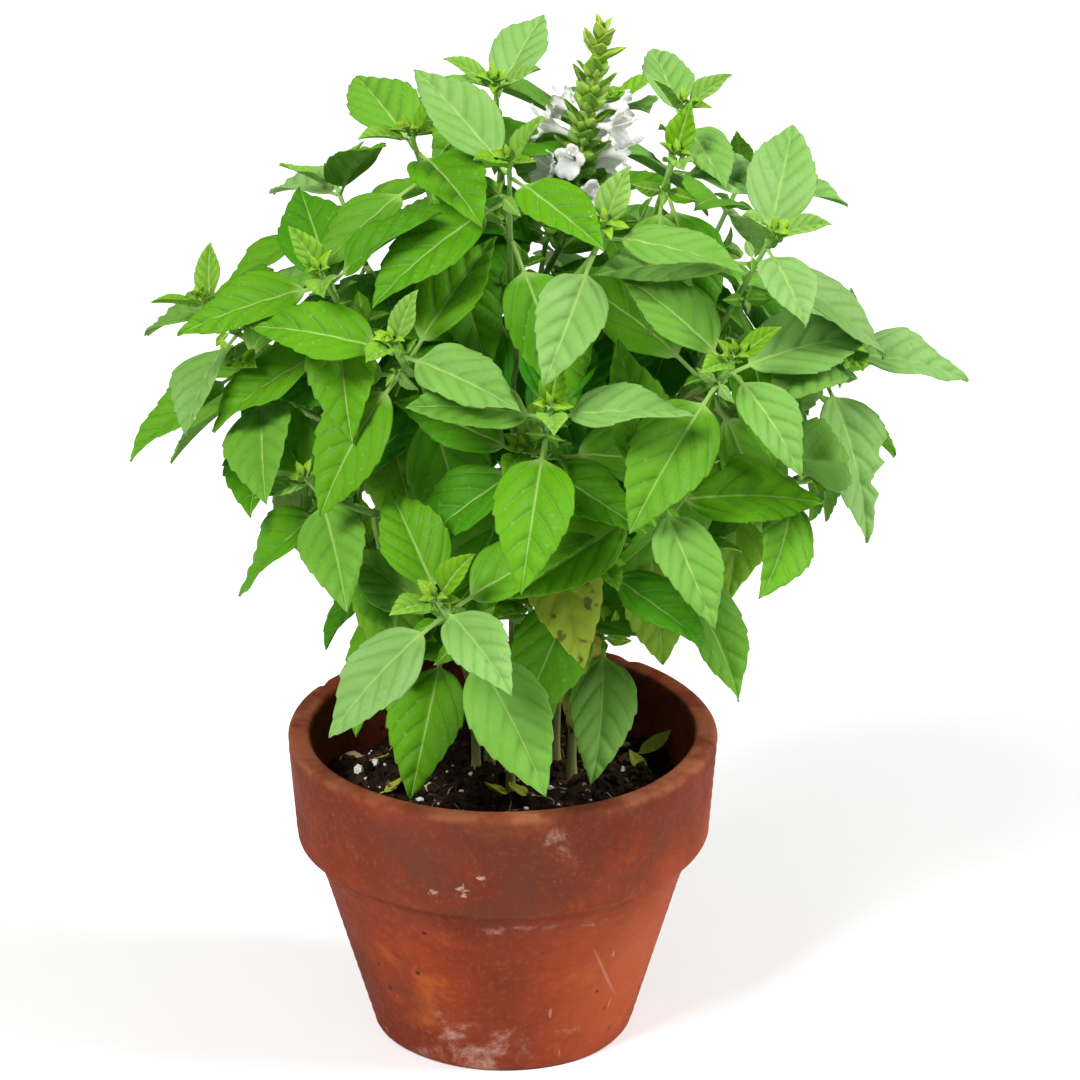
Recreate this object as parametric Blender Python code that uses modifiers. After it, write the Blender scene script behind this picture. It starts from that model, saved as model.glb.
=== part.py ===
"""Potted basil plant: a terracotta flower pot, its soil, and a bush of basil.

The pot is one turned wall with a drain hole, the soil is a turned plug that sits in it,
and the plant grows from the soil by three rules of its own: stems curve from the soil
to their growing tips, leaves stand on them in opposite pairs, and each pair is turned
a quarter against the one before. A flower spike stands on the tallest shoot.
Metres, +Z up; the ground is z = 0 and the origin ends in the middle of the footprint.
"""
import math

import bmesh
import bpy
import numpy as np
from mathutils import Matrix, Vector
from mathutils.bvhtree import BVHTree

# ---------------------------------------------------------------- pot and soil
STEPS = 48                # sides of the turned pieces
POT_HEIGHT = 0.120
RIM_RADIUS = 0.080
BAND_HEIGHT = 0.041
BAND_FOOT_RADIUS = 0.0766
SHOULDER_DROP = 0.0555
SHOULDER_RADIUS = 0.0666
BASE_RADIUS = 0.0482
WALL = 0.0085
FLOOR_THICKNESS = 0.0095
DRAIN_RADIUS = 0.006
GAP = 0.0003              # between any two pieces that touch
PLANTED = 0.025           # how deep the stems go into the soil

# ---------------------------------------------------------------- leaves
LEAF_THICKNESS = 0.0008
LEAF_ROWS = 6
LEAF_NODES = 42
LEAVES_PER_SHOOT = 4
STEM_SIDES = 6
SPIKE_STEPS = 12

# ---------------------------------------------------------------- growth plan
RIM_HEIGHT = 0.120
SOIL_HEIGHT = 0.094

# Every shoot: the shoot it branches from (or None for a stem of its own), where it
# starts (metres x, y on the soil, or how far up its parent), where its growing tip is
# (metres from the pot's axis and above the rim), the compass heading and the lean from
# upright of the tip, the roll of its first pair, its pairs of leaves and their age.
SHOOTS = {
    "crown_back": (None, (0.004, 0.034), (-0.002, 0.042, 0.238), -100, 22, -15, 5, 0.1),
    "crown": (None, (0.006, 0.014), (0.003, -0.030, 0.234), -90, 28, 38, 6, 0.2),
    "upper_left": (None, (-0.005, 0.024), (-0.032, 0.000, 0.234), -120, 26, 31, 6, 0.3),
    "left": (None, (-0.010, 0.012), (-0.064, -0.035, 0.194), -118, 38, -72, 6, 0.2),
    "right": (None, (0.026, 0.010), (0.096, -0.035, 0.208), -62, 36, 0, 6, 0.1),
    "upper_right": (None, (0.020, 0.024), (0.066, 0.018, 0.238), -70, 24, 20, 6, 0.1),
    "front": (None, (0.015, -0.001), (0.017, -0.075, 0.158), -84, 44, 84, 6, 0.2),
    "front_low": (None, (0.003, -0.006), (-0.023, -0.088, 0.091), -105, 44, 35, 5, 0.0),
    "back_left": (None, (-0.009, 0.038), (-0.062, 0.074, 0.190), 130, 32, 20, 6, 0.0),
    "back_right": (None, (0.018, 0.041), (0.090, 0.064, 0.196), 38, 32, 60, 6, 0.0),
    "left_low": ("left", 0.50, (-0.098, -0.005, 0.150), -130, 34, 122, 5, 0.2),
    "low_left": ("left", 0.36, (-0.070, -0.042, 0.118), -122, 40, 20, 5, 0.4),
    "far_left": ("left", 0.60, (-0.108, 0.012, 0.166), 175, 36, 40, 4, 0.1),
    "left_inner": ("upper_left", 0.50, (-0.038, -0.062, 0.178), -105, 36, 60, 5, 0.3),
    "centre": ("crown", 0.62, (0.036, -0.052, 0.218), -80, 34, 75, 4, 0.1),
    "right_upper": ("upper_right", 0.70, (0.062, -0.012, 0.229), -50, 26, 80, 4, 0.1),
    "far_right": ("right", 0.52, (0.124, -0.012, 0.157), -50, 36, 100, 5, 0.0),
    "right_inner": ("right", 0.60, (0.082, -0.062, 0.172), -75, 40, 40, 5, 0.3),
    "low_right": ("right", 0.36, (0.058, -0.070, 0.126), -70, 44, 15, 5, 0.4),
    "low_centre": ("front", 0.42, (0.036, -0.056, 0.092), -75, 44, 60, 5, 0.3),
    "low_far_right": ("right_inner", 0.30, (0.112, -0.028, 0.112), -45, 44, 55, 5, 0.3),
    "back": ("crown_back", 0.45, (0.018, 0.100, 0.172), 88, 38, 80, 6, 0.1),
    "back_top": ("crown_back", 0.66, (0.040, 0.068, 0.222), 60, 22, 15, 5, -0.1),
    "back_low": ("back_left", 0.34, (-0.014, 0.094, 0.104), 100, 44, 40, 5, 0.3),
    "back_far_left": ("back_left", 0.48, (-0.094, 0.044, 0.128), 155, 42, 75, 5, 0.2),
    "back_low_right": ("back_right", 0.34, (0.056, 0.090, 0.112), 66, 44, 0, 5, 0.3),
    "back_far_right": ("back_right", 0.46, (0.120, 0.044, 0.124), 22, 42, 35, 5, 0.2),
    "spike": ("crown_back", 0.55, (0.027, 0.030, 0.201), 0, 7, 10, 5, -0.6),
}
SPIKE_BARE = 0.010      # bare stalk between the flowers and the leaves under them
DROPPED = {"crown_3b", "upper_right_3b", "centre_3b"}     # leaves that have come off

# The life of a leaf, against how many pairs it is behind the growing tip.
BLADE = [0.005, 0.013, 0.043, 0.050, 0.053, 0.053, 0.050]        # length of the blade
BEHIND = [0.000, 0.0015, 0.005, 0.015, 0.034, 0.056, 0.082]      # along the stem
RISE = [74.0, 52.0, 20.0, 8.0, -2.0, -10.0, -18.0]               # degrees above square
SAG = [0.00, 0.00, 0.03, 0.10, 0.24, 0.42, 0.60]                 # pull of its weight
STEM_RADIUS = 0.00185
BRANCH_RADIUS = 0.00150
TIP_RADIUS = 0.00085
LEAF_OFF = 0.0006

# The flower spike: rings of calyces up a stalk, and the flowers open on it now as
# (ring, heading), rings counted from the lowest.
SPIKE_LENGTH = 0.069
SPIKE_RINGS = 9
SPIKE_SWELL = 0.0064
FLOWERS = [(0, -70), (1, -150), (2, 10), (3, 170), (4, -40)]


def unit(vector):
    """The same direction at length one."""
    vector = np.asarray(vector, float)
    return vector / np.linalg.norm(vector)


def smooth(start, leave, end, arrive, steps=80):
    """A cubic curve from start to end, leaving and arriving along two directions."""
    t = np.linspace(0.0, 1.0, steps + 1)[:, None]
    reach = np.linalg.norm(end - start)
    a = start + leave * reach * 0.38
    b = end - arrive * reach * 0.36
    return ((1 - t) ** 3 * start + 3 * (1 - t) ** 2 * t * a
            + 3 * (1 - t) * t ** 2 * b + t ** 3 * end)


def grow_paths():
    """The middle line of every shoot, from the soil or its parent to its tip."""
    paths = {}
    for name, (parent, start, tip, heading, lean, _, _, _) in SHOOTS.items():
        turn, tilt = np.radians([heading, lean])
        arrive = np.array([np.cos(turn) * np.sin(tilt), np.sin(turn) * np.sin(tilt),
                           np.cos(tilt)])
        end = np.array([tip[0], tip[1], tip[2] + RIM_HEIGHT])
        if parent is None:
            begin = np.array([start[0], start[1], SOIL_HEIGHT + 0.004])
            leave = np.array([0.0, 0.0, 1.0])
        else:
            line = paths[parent]
            place = int(round(start * (len(line) - 1)))
            begin = line[place]
            leave = unit(unit(line[place + 1] - begin) + 0.9 * unit(end - begin))
        paths[name] = smooth(begin, leave, end, arrive)
    return paths


def radius_at(name, share):
    """How thick a shoot is, from its start (0) to its tip (1)."""
    first = STEM_RADIUS if SHOOTS[name][0] is None else BRANCH_RADIUS
    return first + (TIP_RADIUS - first) * share ** 1.3


def grow_leaves(paths):
    """Every leaf: opposite pairs, each pair turned a quarter against the last.

    A leaf is a base point on its stem, the direction it sets off in, the direction
    its upper face looks, its length, its width and the length of its stalk.
    """
    chance = np.random.default_rng(7)
    leaves = {}
    for name, (_, _, _, _, _, roll, pairs, age) in SHOOTS.items():
        line = paths[name]
        run = np.concatenate([[0.0], np.cumsum(np.linalg.norm(np.diff(line, axis=0), axis=1))])
        bare = SPIKE_BARE if name == "spike" else 0.0
        for pair in range(pairs):
            stage = max(0.0, pair + age) if pair > 1 else pair
            at = run[-1] - bare - np.interp(stage, range(7), BEHIND)
            scatter = chance.normal(0.0, 1.0, (2, 4))
            if at < 0.22 * run[-1] or (name == "spike" and pair < 2):
                continue
            point, before, after = (
                np.array([np.interp(s, run, line[:, axis]) for axis in range(3)])
                for s in (at, at - 0.002, at + 0.002))
            along = unit(after - before)
            across = unit(np.array([1.0, 0.0, 0.0]) - along[0] * along)
            forward = np.cross(along, across)
            for side in (0, 1):
                if "%s_%d%s" % (name, pair, "ab"[side]) in DROPPED:
                    continue
                phi = np.radians(roll + 90 * (pair - 1) + 180 * side + 6 * scatter[side, 0])
                rise = np.radians(np.interp(stage, range(7), RISE) + 5 * scatter[side, 1])
                out = np.cos(phi) * across + np.sin(phi) * forward
                way = np.cos(rise) * out + np.sin(rise) * along
                way = unit(way - np.array([0.0, 0.0, np.interp(stage, range(7), SAG)]))
                face = 0.6 * along + np.array([0.0, -0.1, 0.6])
                face = unit(face - (face @ way) * way)
                length = np.interp(stage, range(7), BLADE) * (1 + 0.06 * scatter[side, 2])
                off = radius_at(name, at / run[-1]) + LEAF_OFF
                leaves["%s_%d%s" % (name, pair, "ab"[side])] = {
                    "shoot": name, "pair": pair, "stage": stage, "way": way, "face": face,
                    "base": point + out * off, "out": out, "off": off, "along": along,
                    "length": length,
                    "width": length * (0.55 + 0.02 * scatter[side, 3]),
                    "stalk": length * (0.03 + 0.05 * min(stage, 4.0)),
                    "bend": 0.25 + 0.06 * stage + 0.08 * scatter[side, 3],
                }
    return leaves


def ring_radius(ring):
    """How far the calyces of a ring of the spike reach from its stalk."""
    return SPIKE_SWELL * (1.0 - 0.30 * (ring / (SPIKE_RINGS - 1)) ** 2)


def spike_place(paths, ring, heading):
    """A point on the rim of a ring of the spike, and the outward direction there."""
    axis = unit(paths["spike"][-1] - paths["spike"][-5])
    across = unit(np.array([1.0, 0.0, 0.0]) - axis[0] * axis)
    forward = np.cross(axis, across)
    out = np.cos(np.radians(heading)) * across + np.sin(np.radians(heading)) * forward
    height = LEAF_OFF + SPIKE_LENGTH * (0.022 + 0.095 * ring)
    return paths["spike"][-1] + axis * height + out * ring_radius(ring), out, axis


def clear_scene():
    """Remove whatever the file starts with."""
    for thing in list(bpy.data.objects):
        bpy.data.objects.remove(thing, do_unlink=True)


def make_material(name, colour, roughness, sheen=0.0):
    """A Principled material with its colour and roughness set."""
    material = bpy.data.materials.new(name)
    material.use_nodes = True
    shader = material.node_tree.nodes["Principled BSDF"]
    shader.inputs["Base Color"].default_value = (*colour, 1.0)
    shader.inputs["Roughness"].default_value = roughness
    shader.inputs["Sheen Weight"].default_value = sheen
    return material


def add_object(name, mesh, material, collection):
    """Put a mesh in a collection as a named object."""
    thing = bpy.data.objects.new(name, mesh)
    if material is not None:
        mesh.materials.append(material)
    collection.objects.link(thing)
    return thing


def applied(thing):
    """The mesh of an object with its modifiers applied."""
    bpy.context.view_layer.update()
    depsgraph = bpy.context.evaluated_depsgraph_get()
    return bpy.data.meshes.new_from_object(thing.evaluated_get(depsgraph), depsgraph=depsgraph)


def turned(name, profile, material, collection):
    """A closed profile of (radius, height) points turned about the upright axis."""
    mesh = bpy.data.meshes.new(name)
    points = [(radius, 0.0, height) for radius, height in profile]
    edges = [(i, (i + 1) % len(points)) for i in range(len(points))]
    mesh.from_pydata(points, edges, [])
    thing = add_object(name, mesh, material, collection)
    screw = thing.modifiers.new("Turn", "SCREW")
    screw.axis = "Z"
    screw.angle = 2.0 * math.pi
    screw.steps = STEPS
    screw.render_steps = STEPS
    screw.use_merge_vertices = True
    screw.merge_threshold = 0.00005
    return thing


def inner_wall():
    """The inside of the pot as (radius, height) points from the lip to the floor."""
    return [
        (RIM_RADIUS - WALL - 0.0005, POT_HEIGHT - 0.0014),
        (BAND_FOOT_RADIUS - WALL - 0.0010, POT_HEIGHT - BAND_HEIGHT),
        (SHOULDER_RADIUS - WALL + 0.0010, POT_HEIGHT - SHOULDER_DROP - 0.004),
        (BASE_RADIUS - WALL + 0.0010, FLOOR_THICKNESS + 0.003),
        (BASE_RADIUS - WALL - 0.0020, FLOOR_THICKNESS),
    ]


def wall_radius(height):
    """The radius of the inside of the pot at a height."""
    points = inner_wall()[::-1]
    return float(np.interp(height, [z for _, z in points], [r for r, _ in points]))


def make_pot(material, collection):
    """The pot: rounded lip, flared band, shoulder, cone, rounded foot, drain hole."""
    outside = [
        (RIM_RADIUS - 0.0062, POT_HEIGHT),
        (RIM_RADIUS - 0.0018, POT_HEIGHT - 0.0004),
        (RIM_RADIUS, POT_HEIGHT - 0.0022),
        (BAND_FOOT_RADIUS, POT_HEIGHT - BAND_HEIGHT + 0.002),
        (BAND_FOOT_RADIUS - 0.0012, POT_HEIGHT - BAND_HEIGHT),
        (SHOULDER_RADIUS, POT_HEIGHT - SHOULDER_DROP),
        (BASE_RADIUS + 0.0012, 0.006),
        (BASE_RADIUS - 0.0006, 0.0016),
        (BASE_RADIUS - 0.0030, 0.0),
        (DRAIN_RADIUS, 0.0),
        (DRAIN_RADIUS, FLOOR_THICKNESS),
    ]
    return turned("pot", outside + inner_wall()[::-1], material, collection)


def make_soil(stems, material, collection, cutters):
    """A domed plug of soil just clear of the pot, with a socket for every stem."""
    top = SOIL_HEIGHT
    low = FLOOR_THICKNESS + GAP
    reach = GAP + 0.0001
    heights = [top - 0.0015, POT_HEIGHT - BAND_HEIGHT, POT_HEIGHT - SHOULDER_DROP - 0.004,
               FLOOR_THICKNESS + 0.003]
    side = [(wall_radius(z) - reach, z) for z in heights]
    bottom = [(wall_radius(low) - reach - 0.0003, low), (0.0, low)]
    crown = [(0.0, top + 0.0012), (0.030, top + 0.0008), (wall_radius(top) - 0.006, top)]
    soil = turned("soil", crown + side + bottom, material, collection)
    soil.data = applied(soil)
    soil.modifiers.clear()
    for stem in stems:
        x, y = SHOOTS[stem][1]
        mesh = bpy.data.meshes.new("socket_" + stem)
        shape = bmesh.new()
        bmesh.ops.create_cone(
            shape, cap_ends=True, segments=12, depth=PLANTED + 0.012,
            radius1=STEM_RADIUS + 0.00045, radius2=STEM_RADIUS + 0.00045,
            matrix=Matrix.Translation((x, y, top - PLANTED - GAP + (PLANTED + 0.012) / 2)))
        shape.to_mesh(mesh)
        shape.free()
        socket = add_object("socket_" + stem, mesh, None, cutters)
        socket.hide_render = True
        socket.display_type = "WIRE"
        cut = soil.modifiers.new("Socket", "BOOLEAN")
        cut.operation = "DIFFERENCE"
        cut.solver = "EXACT"
        cut.object = socket
    soil.data = applied(soil)
    soil.modifiers.clear()
    return soil


def tube(name, points, radii, collection):
    """A round bar along a line of points, closed at both ends."""
    curve = bpy.data.curves.new(name, "CURVE")
    curve.dimensions = "3D"
    curve.bevel_depth = 1.0
    curve.bevel_resolution = STEM_SIDES // 2 - 2
    curve.use_fill_caps = True
    spline = curve.splines.new("POLY")
    spline.points.add(len(points) - 1)
    for place, point, radius in zip(spline.points, points, radii):
        place.co = (*point, 1.0)
        place.radius = radius
    thing = bpy.data.objects.new(name, curve)
    collection.objects.link(thing)
    mesh = applied(thing)
    collection.objects.unlink(thing)
    bpy.data.objects.remove(thing)
    shape = bmesh.new()
    shape.from_mesh(mesh)
    bmesh.ops.remove_doubles(shape, verts=shape.verts, dist=0.00002)
    bmesh.ops.recalc_face_normals(shape, faces=shape.faces)
    shape.to_mesh(mesh)
    shape.free()
    return mesh


def stem_mesh(name, path, collection):
    """One shoot as a tapering bar; a stem of its own starts deep in the soil."""
    count = 13 if SHOOTS[name][0] is None else 9
    pick = np.linspace(0, len(path) - 1, count).round().astype(int)
    points = [path[i] for i in pick]
    radii = [radius_at(name, i / (len(path) - 1)) for i in pick]
    if SHOOTS[name][0] is None:
        foot = points[0].copy()
        foot[2] = SOIL_HEIGHT - PLANTED
        points.insert(0, foot)
        radii.insert(0, radii[0])
    return tube(name, points, radii, collection)


def root_of(name):
    """The stem in the soil that a shoot belongs to."""
    while SHOOTS[name][0] is not None:
        name = SHOOTS[name][0]
    return name


def make_stem(name, paths, material, collection, cutters):
    """A stem from the soil with every branch that grows from it, as one body."""
    stem = add_object("stem_" + name, stem_mesh(name, paths[name], cutters), material, collection)
    for branch in SHOOTS:
        if branch == name or root_of(branch) != name:
            continue
        arm = add_object("arm_" + branch, stem_mesh(branch, paths[branch], cutters), None, cutters)
        arm.hide_render = True
        arm.display_type = "WIRE"
        join = stem.modifiers.new("Branch", "BOOLEAN")
        join.operation = "UNION"
        join.solver = "EXACT"
        join.object = arm
    mesh = applied(stem)
    stem.modifiers.clear()
    stem.data = mesh
    if not mesh.materials:
        mesh.materials.append(material)
    return stem


def half_width(share):
    """The half width of a leaf blade along it: broad below the middle, pointed."""
    return math.sin(math.pi * min(1.0, share) ** 0.80) ** 0.85 / 2.0


def leaf_points(leaf):
    """The rows of a leaf from its stalk to its tip, three points to a row."""
    across = np.cross(leaf["way"], leaf["face"])
    bend = leaf["bend"]
    rows = []
    for row in range(-1, LEAF_ROWS + 1):
        share = max(0.0, row / LEAF_ROWS)
        run = -leaf["stalk"] if row < 0 else leaf["length"] * math.sin(bend * share) / bend
        drop = 0.0 if row < 0 else leaf["length"] * (1.0 - math.cos(bend * share)) / bend
        half = 0.0009 if row < 1 else max(0.0007, leaf["width"] * half_width(share))
        middle = leaf["base"] + leaf["way"] * (leaf["stalk"] + run) - leaf["face"] * drop
        lift = 0.22 * half * leaf["face"]
        rows.append([middle - across * half + lift, middle, middle + across * half + lift])
    return rows


def leaf_grid(leaf):
    """The middle surface of a leaf: a grid bent, folded and drawn in to a point."""
    mesh = bpy.data.meshes.new("leaf")
    shape = bmesh.new()
    bmesh.ops.create_grid(shape, x_segments=2, y_segments=LEAF_ROWS + 1, size=1.0)
    rows = leaf_points(leaf)
    for vertex in shape.verts:
        column = int(round(vertex.co.x + 1.0))
        row = int(round((vertex.co.y + 1.0) / 2.0 * (LEAF_ROWS + 1)))
        vertex.co = Vector(rows[row][column])
    bmesh.ops.recalc_face_normals(shape, faces=shape.faces)
    shape.to_mesh(mesh)
    shape.free()
    return mesh


def thick_leaf(name, leaf, thickness, collection):
    """A leaf of a given thickness, about the middle surface."""
    thing = add_object(name, leaf_grid(leaf), None, collection)
    solid = thing.modifiers.new("Thickness", "SOLIDIFY")
    solid.thickness = thickness
    solid.offset = 0.0
    return thing


def tree_of(mesh):
    """A search tree of the faces of a mesh."""
    points = [vertex.co.copy() for vertex in mesh.vertices]
    return BVHTree.FromPolygons(points, [tuple(face.vertices) for face in mesh.polygons])


def choose_leaves(leaves, solids, collection):
    """The leaves that stand clear of everything, those furthest out first.

    A leaf is tried twice as thick as it is. One that would meet a stem, the pot or
    a leaf already chosen is passed over.
    """
    middle = np.array([0.015, 0.0, 0.260])
    order = sorted(
        (name for name in leaves if leaves[name]["pair"] >= 2),
        key=lambda name: -np.linalg.norm(
            (leaves[name]["base"] + leaves[name]["way"] * leaves[name]["length"] - middle)
            / np.array([1.25, 1.0, 1.15])))
    trees = [tree_of(thing.data) for thing in solids]
    taken = {}
    for name in order:
        if len(taken) == LEAF_NODES:
            break
        shoot = leaves[name]["shoot"]
        if sum(leaves[other]["shoot"] == shoot for other in taken) == LEAVES_PER_SHOOT:
            continue
        trial = thick_leaf("trial", leaves[name], LEAF_THICKNESS + 0.0010, collection)
        tree = tree_of(applied(trial))
        bpy.data.objects.remove(trial)
        if not any(tree.overlap(other) for other in trees):
            taken[name] = leaves[name]
            trees.append(tree)
    return taken


def make_spike(paths, material, collection):
    """The flower spike: rings of calyces threaded on a stalk, as one turned piece."""
    _, _, axis = spike_place(paths, 0, 0)
    foot = LEAF_OFF
    profile = [(0.0, foot)]
    for ring in range(SPIKE_RINGS):
        middle = foot + SPIKE_LENGTH * (0.022 + 0.095 * ring)
        swell = ring_radius(ring)
        profile += [(0.0014, middle - 0.0013 if ring == 0 else middle - 0.0022),
                    (swell, middle - 0.0004), (swell, middle + 0.0004),
                    (0.0022, middle + 0.0028)]
    top = foot + SPIKE_LENGTH
    profile += [(0.0050, top - 0.0110), (0.0042, top - 0.0050), (0.0, top)]
    spike = turned("flower_spike", profile[::-1], material, collection)
    spike.modifiers["Turn"].steps = SPIKE_STEPS
    spike.modifiers["Turn"].render_steps = SPIKE_STEPS
    place_turned(spike, paths["spike"][-1], axis)
    return spike


def place_turned(thing, foot, axis):
    """Apply a turned piece's modifiers and stand it at a foot point along an axis."""
    mesh = applied(thing)
    thing.modifiers.clear()
    turn = Vector((0.0, 0.0, 1.0)).rotation_difference(Vector(axis)).to_matrix().to_4x4()
    mesh.transform(Matrix.Translation(Vector(foot)) @ turn)
    thing.data = mesh


def make_flower(number, paths, material, collection):
    """An open flower: a short tube that flares to a dished mouth."""
    ring, heading = FLOWERS[number]
    place, out, axis = spike_place(paths, ring, heading)
    profile = [(0.0, 0.0048), (0.0026, 0.0062), (0.0038, 0.0072), (0.0040, 0.0066),
               (0.0020, 0.0040), (0.0008, 0.0020), (0.0006, 0.0), (0.0, 0.0)]
    flower = turned("flower_%d" % (number + 1), profile, material, collection)
    flower.modifiers["Turn"].steps = SPIKE_STEPS
    flower.modifiers["Turn"].render_steps = SPIKE_STEPS
    place_turned(flower, place + out * 0.00055, unit(out + 0.25 * axis))
    return flower


def main():
    clear_scene()
    plant = bpy.data.collections.new("potted_basil")
    cutters = bpy.data.collections.new("cutters")
    for collection in (plant, cutters):
        bpy.context.scene.collection.children.link(collection)
    terracotta = make_material("terracotta", (0.42, 0.13, 0.06), 0.85)
    earth = make_material("soil", (0.020, 0.012, 0.007), 0.95)
    stalk = make_material("stem", (0.22, 0.42, 0.06), 0.55)
    blade = make_material("leaf", (0.08, 0.30, 0.02), 0.45)
    bloom = make_material("calyx", (0.30, 0.50, 0.08), 0.60)
    petal = make_material("petal", (0.85, 0.84, 0.80), 0.60)

    paths = grow_paths()
    roots = [name for name in SHOOTS if SHOOTS[name][0] is None]
    pot = make_pot(terracotta, plant)
    pot.data = applied(pot)
    pot.modifiers.clear()
    soil = make_soil(roots, earth, plant, cutters)
    stems = [make_stem(name, paths, stalk, plant, cutters) for name in roots]
    spike = make_spike(paths, bloom, plant)
    flowers = [make_flower(number, paths, petal, plant) for number in range(len(FLOWERS))]
    solids = [pot, soil, spike] + flowers + stems
    chosen = choose_leaves(grow_leaves(paths), solids, cutters)
    for name, leaf in chosen.items():
        thing = thick_leaf("leaf_" + name, leaf, LEAF_THICKNESS, plant)
        thing.data.materials.append(blade)
    print("leaves as pieces of their own:", len(chosen))

    bpy.context.view_layer.update()
    corners = np.array([thing.matrix_world @ Vector(corner)
                        for thing in plant.objects for corner in thing.bound_box])
    shift = -(corners.min(axis=0) + corners.max(axis=0)) / 2.0
    shift[2] = 0.0
    for thing in plant.objects:
        thing.data.transform(Matrix.Translation(Vector(shift)))
    print("moved to the middle of the footprint by", shift.round(5))


main()
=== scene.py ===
# %% [markdown]
# # A basil plant in a terracotta pot
# A pot of basil is a good first plant to model, because it follows rules that are easy
# to say. Stems curve up from the soil, leaves stand on them in opposite pairs, and each
# pair is turned a quarter against the one below. So this lesson grows the plant from a
# short plan, and spends its effort on what makes one leaf look like basil: the toothed
# edge, the sunken veins, the fold along the midrib and the light that shines through.
# Every piece is a surface worked out with numpy as a grid of two parameters.
#
# The plain solid model is loaded first. It fixes the size and the place of everything.

import bpy
import numpy as np
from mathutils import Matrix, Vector
from mathutils.bvhtree import BVHTree


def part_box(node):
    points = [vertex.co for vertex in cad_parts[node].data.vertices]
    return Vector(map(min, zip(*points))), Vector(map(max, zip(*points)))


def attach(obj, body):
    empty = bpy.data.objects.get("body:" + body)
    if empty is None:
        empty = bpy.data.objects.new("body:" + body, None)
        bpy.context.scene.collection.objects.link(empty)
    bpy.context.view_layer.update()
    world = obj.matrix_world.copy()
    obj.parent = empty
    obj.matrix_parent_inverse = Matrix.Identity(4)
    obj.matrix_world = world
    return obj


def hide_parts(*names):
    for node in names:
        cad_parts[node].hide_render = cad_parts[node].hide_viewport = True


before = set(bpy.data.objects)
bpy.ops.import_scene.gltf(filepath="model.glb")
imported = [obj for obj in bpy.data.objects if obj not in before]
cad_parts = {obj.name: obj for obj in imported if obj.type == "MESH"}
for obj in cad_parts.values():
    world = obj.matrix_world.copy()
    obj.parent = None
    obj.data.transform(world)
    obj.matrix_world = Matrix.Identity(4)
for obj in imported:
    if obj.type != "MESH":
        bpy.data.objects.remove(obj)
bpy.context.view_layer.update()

# %% Where the pot stands
pot_low, pot_high = (np.array(corner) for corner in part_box("pot"))
pot_axis = (pot_low + pot_high) / 2.0 * np.array([1.0, 1.0, 0.0])
soil_low, soil_high = (np.array(corner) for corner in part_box("soil"))
RIM_HEIGHT = float(pot_high[2])
RIM_RADIUS = float(pot_high[0] - pot_low[0]) / 2.0
print("pot axis", pot_axis.round(4), "rim radius", round(RIM_RADIUS, 4), "height", round(RIM_HEIGHT, 4))

# %% [markdown]
# ## Surfaces from whole arrays
# A grid of points becomes a mesh when neighbouring points are joined into squares. Each
# piece here is a stack of rings: a leaf, a stem and a petal are all rings of different
# shapes carried along a line. One helper skins the stack and closes both ends with a
# fan, so that every piece is a closed body. Another joins many such bodies into one
# mesh, which is far quicker than keeping hundreds of objects.

# %% Grids and closed skins
def grid_faces(rows, columns, round_rows=False, round_columns=True):
    """Squares between neighbours of a grid, wrapping round where it is closed."""
    row = np.arange(rows if round_rows else rows - 1)[:, None]
    column = np.arange(columns if round_columns else columns - 1)[None, :]
    row_2 = (row + 1) % rows
    column_2 = (column + 1) % columns
    corners = [row * columns + column, row * columns + column_2,
               row_2 * columns + column_2, row_2 * columns + column]
    return np.stack([np.broadcast_to(c, corners[0].shape) for c in corners], -1).reshape(-1, 4)


def skin(rings):
    """A closed body from rings (rows, columns, 3), with a fan to the middle of each end."""
    rows, columns = rings.shape[:2]
    here = np.arange(columns)
    after = (here + 1) % columns
    first = np.full(columns, rows * columns)
    last_row = (rows - 1) * columns
    fans = np.concatenate([
        np.stack([after, here, first, first], -1),
        np.stack([last_row + here, last_row + after, first + 1, first + 1], -1)])
    points = np.concatenate([rings.reshape(-1, 3), [rings[0].mean(0)], [rings[-1].mean(0)]])
    return {"points": points, "faces": np.concatenate([grid_faces(rows, columns), fans])}


def volume(body):
    """Signed volume: the sum over triangles of a . (b x c) / 6. Below zero is inside out."""
    a, b, c, d = (body["points"][body["faces"][:, k]] for k in range(4))
    fans = np.einsum("ij,ij->i", a, np.cross(b, c)) + np.einsum("ij,ij->i", a, np.cross(c, d))
    return fans.sum() / 6.0


def facing_out(body):
    """The same body, turned right side out if its volume comes out negative."""
    if volume(body) < 0.0:
        body["faces"] = body["faces"][:, ::-1]
    return body

# %% Joining bodies and making objects
def joined(bodies):
    """Many bodies in one: points stacked, and face numbers moved up past the bodies before."""
    counts = np.cumsum([0] + [len(body["points"]) for body in bodies[:-1]])
    whole = {key: np.concatenate([body[key] for body in bodies])
             for key in bodies[0] if key != "faces"}
    whole["faces"] = np.concatenate([body["faces"] + n for body, n in zip(bodies, counts)])
    return whole


pieces_made = []


def make_piece(name, body, finish, slot, *nodes, smooth=True):
    """An object from a body; extra arrays become point attributes of the same name."""
    faces = [tuple(dict.fromkeys(face)) for face in body["faces"].tolist()]
    mesh = bpy.data.meshes.new(name)
    mesh.from_pydata((body["points"] + pot_axis).tolist(), [], faces)
    for key in body:
        if key not in ("points", "faces"):
            layer = mesh.attributes.new(key, "FLOAT", "POINT")
            layer.data.foreach_set("value", body[key].astype(np.float32))
    mesh.polygons.foreach_set("use_smooth", np.full(len(faces), smooth))
    mesh.materials.append(finish)
    mesh.validate()
    mesh.update()
    piece = bpy.data.objects.new(name, mesh)
    bpy.context.scene.collection.objects.link(piece)
    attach(piece, "root")
    if nodes:
        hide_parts(*nodes)
    pieces_made.append((name, len(faces)))
    return piece

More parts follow.
